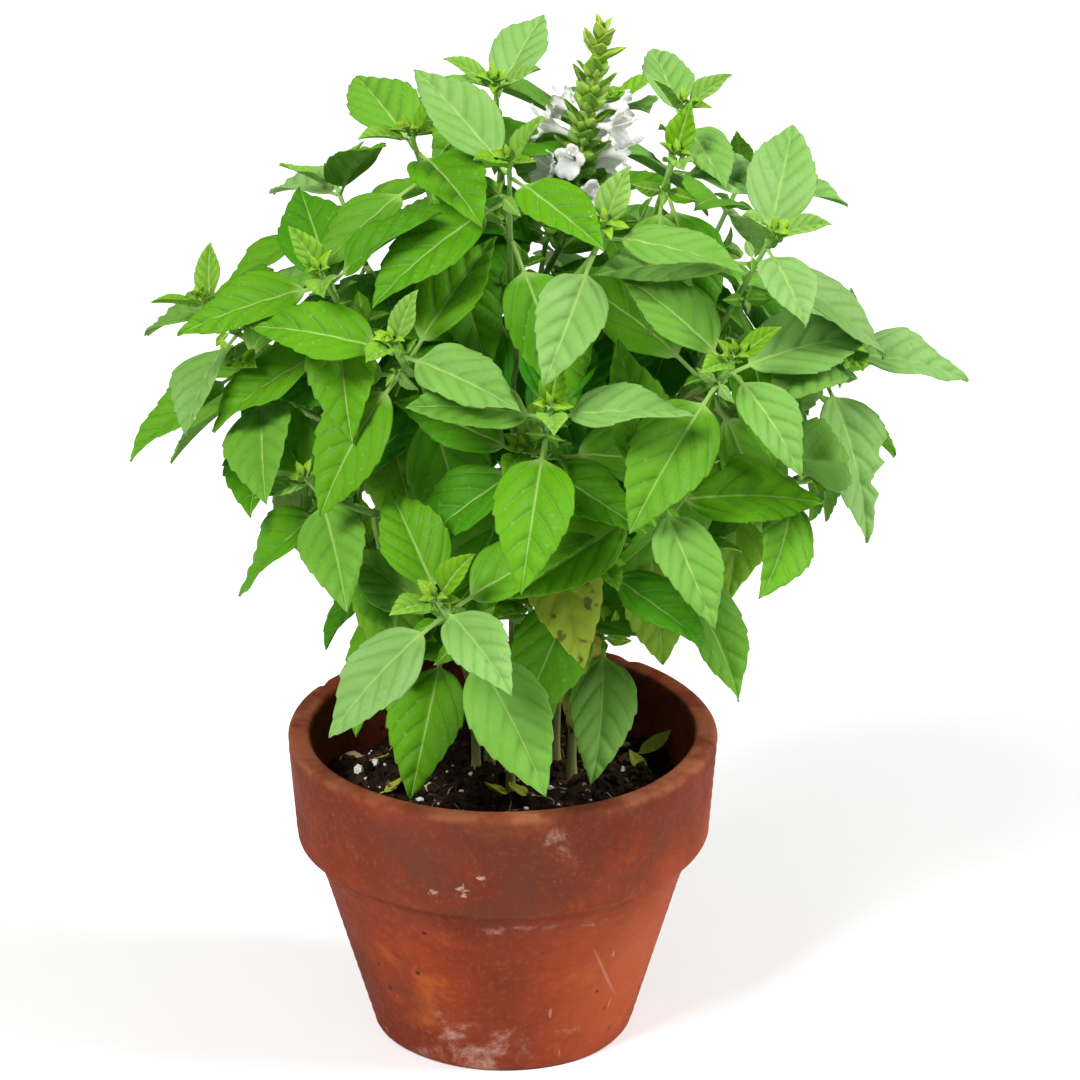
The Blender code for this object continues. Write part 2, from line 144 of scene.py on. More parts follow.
# %% [markdown]
# ## Finishes
# Every finish is a tree of nodes, so it stays sharp at any distance. A small helper
# class keeps the trees readable: it adds a node, sets or links its sockets and hands
# back its output. Patterns read Object coordinates, or point attributes that the
# leaf-making code writes, such as how far a point lies from the midrib.

# %% A helper for node trees
class Finish:
    """A material, and short ways to add nodes to its tree."""

    def __init__(self, name):
        self.material = bpy.data.materials.new(name)
        self.material.use_nodes = True
        self.nodes = self.material.node_tree.nodes
        self.links = self.material.node_tree.links
        self.shader = self.nodes["Principled BSDF"]

    def put(self, socket, value):
        """Link an output to a socket, or set the socket to a constant."""
        if isinstance(value, bpy.types.NodeSocket):
            self.links.new(value, socket)
        else:
            colour = isinstance(value, tuple) and socket.type == "RGBA"
            socket.default_value = (*value[:3], 1.0) if colour else value

    def add(self, kind, inputs, output=0, **settings):
        """A node with its settings and inputs; hands back one of its outputs."""
        node = self.nodes.new(kind)
        for key, value in settings.items():
            setattr(node, key, value)
        for key, value in inputs.items():
            self.put(node.inputs[key], value)
        return node.outputs[output]

    def place(self):
        """Object coordinates: the point's place in metres."""
        return self.add("ShaderNodeTexCoord", {}, 3)

    def attribute(self, name):
        """A point attribute of the mesh, as a number."""
        return self.add("ShaderNodeAttribute", {}, 2, attribute_name=name)

    def math(self, operation, a, b=0.0):
        """One operation on one or two numbers."""
        return self.add("ShaderNodeMath", {0: a, 1: b}, operation=operation)

    def fade(self, value, low, high, start=0.0, end=1.0):
        """A smooth step from start to end as the value goes from low to high."""
        return self.add("ShaderNodeMapRange", {0: value, 1: low, 2: high, 3: start, 4: end},
                        interpolation_type="SMOOTHSTEP")

    def times(self, first, *others):
        """Numbers multiplied together, one after another."""
        for other in others:
            first = self.math("MULTIPLY", first, other)
        return first

    def mix(self, factor, a, b):
        """Two colours mixed by a factor."""
        return self.add("ShaderNodeMix", {0: factor, 6: a, 7: b}, 2, data_type="RGBA")

    def paint(self, under, where, strength, colour):
        """A colour laid over another: where it goes (0 to 1), and how strongly there."""
        return self.mix(self.times(where, strength), under, colour)

    def noise(self, scale, detail=4.0, roughness=0.5, distortion=0.0, vector=None):
        """Cloudy noise over the piece."""
        vector = vector or self.place()
        return self.add("ShaderNodeTexNoise", {
            "Vector": vector, "Scale": scale, "Detail": detail, "Roughness": roughness,
            "Distortion": distortion})

    def cells(self, scale, feature="F1"):
        """Distance within (or to the edge of) random cells."""
        return self.add("ShaderNodeTexVoronoi", {"Vector": self.place(), "Scale": scale},
                        feature=feature)

    def bump(self, height, strength, distance, under=None):
        """Bump from a height, laid over another bump if there is one."""
        inputs = {"Height": height, "Strength": strength, "Distance": distance}
        if under is not None:
            inputs["Normal"] = under
        return self.add("ShaderNodeBump", inputs)

    def done(self, colour, roughness, normal=None):
        """Link the colour, roughness and bump to the shader and hand back the material."""
        self.put(self.shader.inputs["Base Color"], colour)
        self.put(self.shader.inputs["Roughness"], roughness)
        if normal is not None:
            self.put(self.shader.inputs["Normal"], normal)
        return self.material

    def shine_through(self, colour, share):
        """Mix in light that passes through the thin blade from behind."""
        through = self.add("ShaderNodeBsdfTranslucent", {"Color": colour})
        mixed = self.add("ShaderNodeMixShader", {0: share, 1: self.shader.outputs[0], 2: through})
        self.links.new(mixed, self.nodes["Material Output"].inputs["Surface"])

# %% [markdown]
# ### Leaf
# A young leaf is bright yellow-green and an old one a deeper green. Fine side veins and
# the midrib are paler than the blade, the lower face is greyer, and the skin between
# the veins is made of small cells that scatter the highlight. Leaves far out in the bush
# are painted paler, a painted sheen, and those inside deeper, painted shade; beside each
# side vein the blade is painted darker, painted shade in the groove. About a third of the
# light goes through the blade and comes out a warmer green.

# %% Leaf finish
def make_leaf_finish():
    leaf = Finish("basil_leaf")
    youth, tone = leaf.attribute("youth"), leaf.attribute("tone")
    across, along = leaf.attribute("across"), leaf.attribute("along")
    # painted sheen and shade: the pale colour is a painted sheen and the deep one painted shade, chosen by
    # a tone that is higher for leaves far out in the bush
    green = leaf.mix(leaf.fade(tone, -1.8, 0.4), (0.027, 0.232, 0.000), (0.122, 0.356, 0.002))
    green = leaf.mix(leaf.fade(tone, 0.1, 1.9), green, (0.290, 0.490, 0.155))
    green = leaf.mix(leaf.fade(youth, 0.45, 1.0), green, (0.330, 0.580, 0.008))
    cloud = leaf.fade(leaf.noise(46.0, 3.0), 0.35, 0.70)
    green = leaf.paint(green, cloud, 0.30, (0.110, 0.330, 0.004))
    # fine net of veins, side veins, midrib
    net = leaf.fade(leaf.cells(420.0, "DISTANCE_TO_EDGE"), 0.0, 0.12, 1.0, 0.0)
    green = leaf.paint(green, net, 0.10, (0.200, 0.440, 0.060))
    beside = leaf.math("PINGPONG", leaf.attribute("vein_place"), 0.5)
    # painted shade: the blade is darker green beside each side vein, in the groove between the puffed
    # humps
    groove = leaf.times(leaf.fade(beside, 0.0, 0.17, 0.30, 0.0),
                        leaf.fade(across, 0.60, 1.0, 1.0, 0.0))
    green = leaf.mix(groove, green, (0.040, 0.190, 0.000))
    line = leaf.times(leaf.fade(beside, 0.0, 0.060, 1.0, 0.0),
                      leaf.fade(across, 0.55, 0.95, 1.0, 0.0),
                      leaf.fade(along, 0.80, 0.95, 1.0, 0.0))
    green = leaf.paint(green, line, 0.30, (0.290, 0.530, 0.110))
    # the midrib is 0.9 mm wide at the stalk and narrows towards the tip
    rib = leaf.math("DIVIDE", leaf.attribute("aside"), leaf.fade(along, 0.0, 1.0, 0.45, 0.16))
    midrib = leaf.math("MAXIMUM", leaf.fade(rib, 0.6, 1.5, 1.0, 0.0), leaf.attribute("stalk"))
    green = leaf.paint(green, midrib, 0.80, (0.400, 0.600, 0.150))
    green = leaf.paint(green, leaf.attribute("under"), 0.55, (0.220, 0.400, 0.070))
    # withering: yellow first, then brown spots
    wither = leaf.attribute("wither")
    green = leaf.mix(leaf.fade(wither, 0.05, 0.75), green, (0.420, 0.440, 0.045))
    spot = leaf.math("ADD", leaf.noise(190.0, 2.0), leaf.fade(along, 0.84, 1.0, 0.0, 0.22))
    spot = leaf.times(leaf.fade(spot, 0.64, 0.69), leaf.fade(wither, 0.15, 0.60))
    green = leaf.mix(spot, green, (0.075, 0.030, 0.012))
    rough = leaf.fade(leaf.noise(150.0, 3.0), 0.3, 0.7, 0.48, 0.62)
    rough = leaf.math("ADD", rough, leaf.times(leaf.attribute("under"), 0.18))
    normal = leaf.bump(leaf.fade(leaf.cells(520.0), 0.25, 0.85), 0.16, 0.0004)
    normal = leaf.bump(leaf.fade(beside, 0.0, 0.24), 0.35, 0.0010, normal)
    leaf.shader.inputs["Specular IOR Level"].default_value = 0.18
    leaf.shader.inputs["Sheen Weight"].default_value = 0.06
    leaf.shader.inputs["Sheen Roughness"].default_value = 0.40
    material = leaf.done(green, rough, normal)
    leaf.shine_through(leaf.mix(0.65, green, (0.250, 0.640, 0.000)), 0.33)
    return material


leaf_finish = make_leaf_finish()

# %% [markdown]
# ### Stem, calyx and petal
# The stems go from tan and woody at the soil to clear light green at the tip. The
# calyces are yellow-green and the petals are white and thin enough to glow.

# %% Stem, calyx and petal finishes
def make_stem_finish():
    stem = Finish("basil_stem")
    youth = stem.attribute("youth")
    colour = stem.mix(stem.fade(youth, 0.0, 0.55), (0.260, 0.270, 0.085), (0.190, 0.400, 0.055))
    streak = stem.noise(90.0, 3.0, vector=stem.add("ShaderNodeMapping", {
        "Vector": stem.place(), "Scale": (6.0, 6.0, 0.6)}))
    colour = stem.paint(colour, stem.fade(streak, 0.4, 0.7), 0.35, (0.330, 0.460, 0.150))
    colour = stem.paint(colour, stem.fade(stem.noise(40.0), 0.55, 0.75), 0.30,
                        (0.170, 0.110, 0.045))
    normal = stem.bump(streak, 0.30, 0.0005)
    material = stem.done(colour, 0.50, normal)
    stem.shader.inputs["Subsurface Weight"].default_value = 0.12
    stem.shader.inputs["Subsurface Radius"].default_value = (0.001, 0.002, 0.0005)
    return material


def make_calyx_finish():
    calyx = Finish("basil_calyx")
    colour = calyx.mix(calyx.attribute("youth"), (0.130, 0.330, 0.030), (0.420, 0.600, 0.060))
    colour = calyx.mix(calyx.fade(calyx.noise(260.0), 0.45, 0.7), colour, (0.230, 0.420, 0.070))
    material = calyx.done(colour, 0.52, calyx.bump(calyx.noise(900.0, 2.0), 0.25, 0.0004))
    calyx.shine_through(calyx.mix(0.5, colour, (0.400, 0.650, 0.060)), 0.20)
    return material


def make_petal_finish():
    petal = Finish("basil_petal")
    colour = petal.mix(petal.fade(petal.noise(300.0), 0.4, 0.7), (0.95, 0.94, 0.92),
                       (0.88, 0.87, 0.90))
    material = petal.done(colour, 0.60, petal.bump(petal.noise(700.0, 2.0), 0.20, 0.0003))
    petal.shine_through((0.96, 0.96, 0.93), 0.45)
    return material


stem_finish = make_stem_finish()
calyx_finish = make_calyx_finish()
petal_finish = make_petal_finish()

# %% [markdown]
# ### Terracotta
# An old clay pot is never one colour. The clay fires unevenly from orange to brown, the
# water that seeps out leaves white salts near the foot and a darker tide on the band,
# and the surface has pits, fine grit and a few pale scratches. A brighter patch on the
# right front of the body is painted light.

# %% Terracotta finish
def clay_patch(clay, place, size):
    """A round patch about a point, 1 in its middle and fading to 0 a size away."""
    away = clay.add("ShaderNodeVectorMath", {0: clay.place(), 1: tuple(pot_axis + place)}, 1,
                    operation="DISTANCE")
    return clay.fade(away, 0.0, size, 1.0, 0.0)


def make_terracotta_finish():
    clay = Finish("terracotta")
    height = clay.add("ShaderNodeSeparateXYZ", {0: clay.place()}, 2)
    cloud, mottle = clay.noise(13.0, 7.0, 0.62), clay.noise(75.0, 5.0, 0.7)
    colour = clay.mix(clay.fade(cloud, 0.36, 0.66), (0.135, 0.021, 0.007), (0.245, 0.038, 0.012))
    rust = clay.fade(clay.noise(34.0, 5.0, 0.6, 0.4), 0.55, 0.72)
    colour = clay.paint(colour, rust, 0.60, (0.350, 0.085, 0.018))
    colour = clay.paint(colour, clay.fade(mottle, 0.48, 0.72), 0.50, (0.105, 0.021, 0.010))
    # painted light: the right front of the body is painted a brighter orange, as if more light fell on
    # that side
    painted_light_patch = clay_patch(clay, (0.062, -0.040, 0.038), 0.075)
    colour = clay.paint(colour, painted_light_patch, 0.65, (0.370, 0.078, 0.026))
    # a dark tide on the band, where damp soil stands behind it
    tide = clay.times(clay.fade(height, 0.072, 0.092),
                      clay.fade(clay.noise(17.0, 6.0, 0.65), 0.38, 0.60))
    colour = clay.paint(colour, tide, 0.60, (0.085, 0.026, 0.016))
    grain = clay.noise(420.0, 3.0, 0.7)
    colour = clay.paint(colour, clay.fade(grain, 0.50, 0.72), 0.17, (0.330, 0.110, 0.055))
    # brown smudges where hands and damp have been
    smudge = clay.fade(clay.noise(43.0, 6.0, 0.65), 0.40, 0.62)
    for place, size in (((-0.036, -0.070, 0.096), 0.034), ((0.004, -0.078, 0.090), 0.036),
                        ((-0.046, -0.030, 0.024), 0.040), ((0.050, -0.060, 0.100), 0.022),
                        ((0.030, 0.070, 0.085), 0.040), ((-0.070, 0.020, 0.100), 0.034)):
        dark = clay.times(clay_patch(clay, place, size), smudge)
        colour = clay.paint(colour, dark, 0.80, (0.088, 0.030, 0.018))
    # white salts: patches low on the front, a line under the band, and flecks
    low = clay.fade(height, 0.000, 0.050, 0.070, 0.0)
    front = clay_patch(clay, (-0.012, -0.052, 0.014), 0.042)
    band = clay_patch(clay, (-0.018, -0.076, 0.078), 0.022)
    lip = clay_patch(clay, (0.022, -0.077, 0.116), 0.020)
    under = clay.times(clay.fade(height, 0.0655, 0.0685),
                       clay.fade(height, 0.0705, 0.0740, 1.0, 0.0))
    strong = low
    for patch, strength in ((front, 0.20), (band, 0.10), (lip, 0.21), (under, 0.13)):
        strong = clay.math("ADD", strong, clay.times(patch, strength))
    salts = clay.fade(clay.math("ADD", clay.noise(52.0, 9.0, 0.72, 0.25), strong), 0.66, 0.86)
    fleck = clay.fade(clay.noise(170.0, 4.0, 0.7), 0.72, 0.77)
    salts = clay.math("ADD", clay.times(salts, 0.72), clay.times(fleck, 0.5))
    for place, size in (((-0.008, -0.0776, 0.0955), 0.0040), ((-0.015, -0.0765, 0.0890), 0.0075),
                        ((-0.026, -0.0735, 0.0870), 0.0060), ((0.045, 0.0630, 0.0900), 0.0050),
                        ((0.0730, 0.020, 0.0980), 0.0035), ((-0.060, 0.0480, 0.0840), 0.0045)):
        splash = clay.times(clay_patch(clay, place, size), 0.45)
        splash = clay.math("ADD", splash, clay.noise(260.0, 5.0, 0.75, 0.6))
        salts = clay.math("ADD", salts, clay.fade(splash, 0.84, 0.96, 0.0, 0.75))
    salts.node.use_clamp = True
    colour = clay.mix(salts, colour, (0.450, 0.290, 0.220))
    # dark pits, and pale scratches that run mostly up and down
    pit = clay.times(clay.fade(clay.cells(95.0), 0.06, 0.13, 1.0, 0.0),
                     clay.fade(clay.noise(27.0), 0.53, 0.60))
    colour = clay.paint(colour, pit, 0.85, (0.030, 0.014, 0.009))
    leaning = clay.add("ShaderNodeMapping", {
        "Vector": clay.place(), "Rotation": (0.10, 0.38, 0.0), "Scale": (1.0, 1.0, 0.045)})
    scratch = clay.times(clay.fade(clay.noise(210.0, 1.0, vector=leaning), 0.735, 0.76),
                         clay.fade(height, 0.070, 0.055))
    scratch.node.use_clamp = True
    bare_clay = (0.480, 0.260, 0.190)
    colour = clay.paint(colour, scratch, 0.40, bare_clay)
    # one long scratch down the front
    spot = clay.add("ShaderNodeSeparateXYZ", {0: clay.place()})
    x, y = clay.math("SUBTRACT", spot, pot_axis[0] + 0.0333), spot.node.outputs[1]
    line = clay.math("ADD", x, clay.times(clay.math("SUBTRACT", height, 0.056), 0.297))
    line = clay.times(clay.fade(clay.math("ABSOLUTE", line), 0.00015, 0.00080, 1.0, 0.0),
                      clay.fade(height, 0.024, 0.036),
                      clay.fade(height, 0.048, 0.058, 1.0, 0.0),
                      clay.math("LESS_THAN", y, 0.0))
    colour = clay.paint(colour, line, 0.30, bare_clay)
    # the worn edge of the lip shows the bare orange clay
    worn_edge = clay.times(clay.fade(height, 0.1165, 0.1195),
                           clay.fade(clay.noise(60.0, 5.0), 0.40, 0.60))
    colour = clay.paint(colour, worn_edge, 0.45, (0.300, 0.110, 0.050))
    normal = clay.bump(grain, 0.35, 0.0006)
    normal = clay.bump(mottle, 0.30, 0.0012, normal)
    normal = clay.bump(clay.math("SUBTRACT", salts, pit), 0.5, 0.0006, normal)
    rough = clay.fade(clay.noise(35.0), 0.3, 0.7, 0.62, 0.86)
    clay.shader.inputs["Specular IOR Level"].default_value = 0.08
    return clay.done(colour, rough, normal)


terracotta_finish = make_terracotta_finish()

# %% Soil, perlite and bark finishes
def make_grainy_finish(name, dark, light, scale, roughness):
    grit = Finish(name)
    grit.shader.inputs["Specular IOR Level"].default_value = 0.12
    colour = grit.mix(grit.fade(grit.noise(scale, 5.0, 0.7), 0.38, 0.66), dark, light)
    normal = grit.bump(grit.noise(scale * 4.0, 4.0, 0.7), 0.6, 0.0008)
    return grit.done(colour, roughness, normal)


GRAINY = (
    ("potting_soil", (0.006, 0.003, 0.002), (0.020, 0.010, 0.005), 160.0, 0.93),
    ("soil_crumb", (0.007, 0.003, 0.002), (0.042, 0.021, 0.009), 90.0, 0.95),
    ("bark", (0.060, 0.030, 0.014), (0.240, 0.140, 0.070), 120.0, 0.85),
    ("root_fibre", (0.150, 0.090, 0.045), (0.330, 0.230, 0.130), 200.0, 0.80),
    ("dry_litter", (0.230, 0.130, 0.060), (0.480, 0.330, 0.180), 110.0, 0.75),
    ("perlite", (0.480, 0.460, 0.420), (0.760, 0.750, 0.720), 300.0, 0.90))
grainy = {row[0]: make_grainy_finish(*row) for row in GRAINY}
print("finishes", len(bpy.data.materials))

# %% [markdown]
# ## The growth plan
# The bush is a list of shoots. Each row says where a shoot starts, where its growing tip
# is and how the tip leans, and the rest follows by rule. It is the same plan that the
# solid model grew from, so every stem and leaf lands where its solid is.

# %% Growing stems and leaves
SOIL_HEIGHT = 0.094

# Every shoot: the shoot it branches from (or None for a stem of its own), where it
# starts (metres x, y on the soil, or how far up its parent), where its growing tip is
# (metres from the pot's axis and above the rim), the compass heading and the lean from
# upright of the tip, the roll of its first pair, its pairs of leaves and their age.
SHOOTS = {
    "crown_back": (None, (0.004, 0.034), (-0.002, 0.042, 0.238), -100, 22, -15, 5, 0.1),
    "crown": (None, (0.006, 0.014), (0.003, -0.030, 0.234), -90, 28, 38, 6, 0.2),
    "upper_left": (None, (-0.005, 0.024), (-0.032, 0.000, 0.234), -120, 26, 31, 6, 0.3),
    "left": (None, (-0.010, 0.012), (-0.064, -0.035, 0.194), -118, 38, -72, 6, 0.2),
    "right": (None, (0.026, 0.010), (0.096, -0.035, 0.208), -62, 36, 0, 6, 0.1),
    "upper_right": (None, (0.020, 0.024), (0.066, 0.018, 0.238), -70, 24, 20, 6, 0.1),
    "front": (None, (0.015, -0.001), (0.017, -0.075, 0.158), -84, 44, 84, 6, 0.2),
    "front_low": (None, (0.003, -0.006), (-0.023, -0.088, 0.091), -105, 44, 35, 5, 0.0),
    "back_left": (None, (-0.009, 0.038), (-0.062, 0.074, 0.190), 130, 32, 20, 6, 0.0),
    "back_right": (None, (0.018, 0.041), (0.090, 0.064, 0.196), 38, 32, 60, 6, 0.0),
    "left_low": ("left", 0.50, (-0.098, -0.005, 0.150), -130, 34, 122, 5, 0.2),
    "low_left": ("left", 0.36, (-0.070, -0.042, 0.118), -122, 40, 20, 5, 0.4),
    "far_left": ("left", 0.60, (-0.108, 0.012, 0.166), 175, 36, 40, 4, 0.1),
    "left_inner": ("upper_left", 0.50, (-0.038, -0.062, 0.178), -105, 36, 60, 5, 0.3),
    "centre": ("crown", 0.62, (0.036, -0.052, 0.218), -80, 34, 75, 4, 0.1),
    "right_upper": ("upper_right", 0.70, (0.062, -0.012, 0.229), -50, 26, 80, 4, 0.1),
    "far_right": ("right", 0.52, (0.124, -0.012, 0.157), -50, 36, 100, 5, 0.0),
    "right_inner": ("right", 0.60, (0.082, -0.062, 0.172), -75, 40, 40, 5, 0.3),
    "low_right": ("right", 0.36, (0.058, -0.070, 0.126), -70, 44, 15, 5, 0.4),
    "low_centre": ("front", 0.42, (0.036, -0.056, 0.092), -75, 44, 60, 5, 0.3),
    "low_far_right": ("right_inner", 0.30, (0.112, -0.028, 0.112), -45, 44, 55, 5, 0.3),
    "back": ("crown_back", 0.45, (0.018, 0.100, 0.172), 88, 38, 80, 6, 0.1),
    "back_top": ("crown_back", 0.66, (0.040, 0.068, 0.222), 60, 22, 15, 5, -0.1),
    "back_low": ("back_left", 0.34, (-0.014, 0.094, 0.104), 100, 44, 40, 5, 0.3),
    "back_far_left": ("back_left", 0.48, (-0.094, 0.044, 0.128), 155, 42, 75, 5, 0.2),
    "back_low_right": ("back_right", 0.34, (0.056, 0.090, 0.112), 66, 44, 0, 5, 0.3),
    "back_far_right": ("back_right", 0.46, (0.120, 0.044, 0.124), 22, 42, 35, 5, 0.2),
    "spike": ("crown_back", 0.55, (0.027, 0.030, 0.201), 0, 7, 10, 5, -0.6),
}
SPIKE_BARE = 0.010      # bare stalk between the flowers and the leaves under them
DROPPED = {"crown_3b", "upper_right_3b", "centre_3b"}     # leaves that have come off

# The life of a leaf, against how many pairs it is behind the growing tip.
BLADE = [0.005, 0.013, 0.043, 0.050, 0.053, 0.053, 0.050]        # length of the blade
BEHIND = [0.000, 0.0015, 0.005, 0.015, 0.034, 0.056, 0.082]      # along the stem
RISE = [74.0, 52.0, 20.0, 8.0, -2.0, -10.0, -18.0]               # degrees above square
SAG = [0.00, 0.00, 0.03, 0.10, 0.24, 0.42, 0.60]                 # pull of its weight
STEM_RADIUS = 0.00185
BRANCH_RADIUS = 0.00150
TIP_RADIUS = 0.00085
LEAF_OFF = 0.0006

# The flower spike: rings of calyces up a stalk, and the flowers open on it now as
# (ring, heading), rings counted from the lowest.
SPIKE_LENGTH = 0.069
SPIKE_RINGS = 9
SPIKE_SWELL = 0.0064
FLOWERS = [(0, -70), (1, -150), (2, 10), (3, 170), (4, -40)]


def unit(vector):
    """The same direction at length one."""
    vector = np.asarray(vector, float)
    return vector / np.linalg.norm(vector)


def square_to(vector, way):
    """The part of a vector square to a direction, at length one: v - (v . w) w."""
    vector = np.asarray(vector, float)
    return unit(vector - (vector @ way) * way)


def outward(axis, turn):
    """The direction square to an axis, at a turn about it (in radians)."""
    across = square_to([1.0, 0.0, 0.0], axis)
    return np.cos(turn) * across + np.sin(turn) * np.cross(axis, across)


def lengths_along(line):
    """How far along a line each of its points lies."""
    return np.concatenate([[0.0], np.cumsum(np.linalg.norm(np.diff(line, axis=0), axis=1))])


def points_at(line, run, at):
    """The points of a line at given lengths along it."""
    return np.stack([np.interp(at, run, line[:, axis]) for axis in range(3)], -1)


def smooth(start, leave, end, arrive, steps=80):
    """A cubic curve from start to end, leaving and arriving along two directions."""
    t = np.linspace(0.0, 1.0, steps + 1)[:, None]
    reach = np.linalg.norm(end - start)
    a = start + leave * reach * 0.38
    b = end - arrive * reach * 0.36
    return ((1 - t) ** 3 * start + 3 * (1 - t) ** 2 * t * a
            + 3 * (1 - t) * t ** 2 * b + t ** 3 * end)


def grow_paths():
    """The middle line of every shoot, from the soil or its parent to its tip."""
    paths = {}
    for name, (parent, start, tip, heading, lean, _, _, _) in SHOOTS.items():
        turn, tilt = np.radians([heading, lean])
        arrive = np.array([np.cos(turn) * np.sin(tilt), np.sin(turn) * np.sin(tilt),
                           np.cos(tilt)])
        end = np.array([tip[0], tip[1], tip[2] + RIM_HEIGHT])
        if parent is None:
            begin = np.array([start[0], start[1], SOIL_HEIGHT + 0.004])
            leave = np.array([0.0, 0.0, 1.0])
        else:
            line = paths[parent]
            place = int(round(start * (len(line) - 1)))
            begin = line[place]
            leave = unit(unit(line[place + 1] - begin) + 0.9 * unit(end - begin))
        paths[name] = smooth(begin, leave, end, arrive)
    return paths


def radius_at(name, share):
    """How thick a shoot is, from its start (0) to its tip (1)."""
    first = STEM_RADIUS if SHOOTS[name][0] is None else BRANCH_RADIUS
    return first + (TIP_RADIUS - first) * share ** 1.3


def grow_leaves(paths):
    """Every leaf: opposite pairs, each pair turned a quarter against the last.

    A leaf is a base point on its stem, the direction it sets off in, the direction
    its upper face looks, its length, its width and the length of its stalk.
    """
    chance = np.random.default_rng(7)
    leaves = {}
    for name, (_, _, _, _, _, roll, pairs, age) in SHOOTS.items():
        line = paths[name]
        run = lengths_along(line)
        bare = SPIKE_BARE if name == "spike" else 0.0
        for pair in range(pairs):
            stage = max(0.0, pair + age) if pair > 1 else pair
            at = run[-1] - bare - np.interp(stage, range(7), BEHIND)
            scatter = chance.normal(0.0, 1.0, (2, 4))
            if at < 0.22 * run[-1] or (name == "spike" and pair < 2):
                continue
            point, before, after = (points_at(line, run, s) for s in (at, at - 0.002, at + 0.002))
            along = unit(after - before)
            for side in (0, 1):
                leaf_name = "%s_%d%s" % (name, pair, "ab"[side])
                if leaf_name in DROPPED:
                    continue
                phi = np.radians(roll + 90 * (pair - 1) + 180 * side + 6 * scatter[side, 0])
                rise = np.radians(np.interp(stage, range(7), RISE) + 5 * scatter[side, 1])
                out = outward(along, phi)
                way = np.cos(rise) * out + np.sin(rise) * along
                way = unit(way - np.array([0.0, 0.0, np.interp(stage, range(7), SAG)]))
                face = square_to(0.6 * along + np.array([0.0, -0.1, 0.6]), way)
                length = np.interp(stage, range(7), BLADE) * (1 + 0.06 * scatter[side, 2])
                off = radius_at(name, at / run[-1]) + LEAF_OFF
                leaves[leaf_name] = {
                    "shoot": name, "stage": stage, "way": way, "face": face,
                    "base": point + out * off, "out": out, "off": off, "along": along,
                    "length": length,
                    "width": length * (0.55 + 0.02 * scatter[side, 3]),
                    "stalk": length * (0.03 + 0.05 * min(stage, 4.0)),
                    "bend": 0.25 + 0.06 * stage + 0.08 * scatter[side, 3],
                }
    return leaves


def ring_radius(ring):
    """How far the calyces of a ring of the spike reach from its stalk."""
    return SPIKE_SWELL * (1.0 - 0.30 * (ring / (SPIKE_RINGS - 1)) ** 2)


def spike_place(paths, ring, heading):
    """A point on the rim of a ring of the spike, and the outward direction there."""
    axis = unit(paths["spike"][-1] - paths["spike"][-5])
    out = outward(axis, np.radians(heading))
    height = LEAF_OFF + SPIKE_LENGTH * (0.022 + 0.095 * ring)
    return paths["spike"][-1] + axis * height + out * ring_radius(ring), out, axis

# %% [markdown]
# ## One basil leaf
# A basil blade is egg-shaped and pointed, folded up a little along its midrib, bent
# down towards its tip, and puffed up between its side veins. Its edge has eight
# low teeth a side that point forwards. It could be a flat card printed with a leaf,
# but that falls apart close up. Instead each leaf is a stack of rings: a ring goes
# across the upper face from one edge to the other and back across the lower face. In
# the stalk the rings are small ovals, and they open out into the blade, so the stalk
# runs on into the midrib as it does on the plant.

# %% Across a leaf and along it
def half_width(share):
    """Half the width of a blade along its length: the sine of a bent share, so that it
    opens roundly at the stalk and closes to a point."""
    return np.sin(np.pi * np.clip(share, 0.0, 1.0) ** 0.70) ** 0.98 / 2.0


def blend_in(low, high, x):
    """A smooth step from 0 at low to 1 at high: 3t squared minus 2t cubed."""
    t = np.clip((x - low) / (high - low), 0.0, 1.0)
    return t * t * (3.0 - 2.0 * t)


def columns_across(count):
    """Places across a leaf from -1 to 1, closer together at the midrib, with one more
    just inside the edge so that the face stays flat until the very edge."""
    side = np.append((np.arange(1, count) / (count - 1)) ** 1.25 * 0.96, 1.0)
    return np.concatenate([-side[::-1], [0.0], side])

# %% The leaf itself
# teeth a side, columns a side and rows in the stalk, for leaves of four sizes
WHOLE, MEDIUM, BRACT, TINY = (8, 7, 4), (5, 4, 2), (3, 3, 2), (3, 2, 2)
TOOTH_ROWS = np.array([0.03, 0.22, 0.55, 0.80, 0.92])


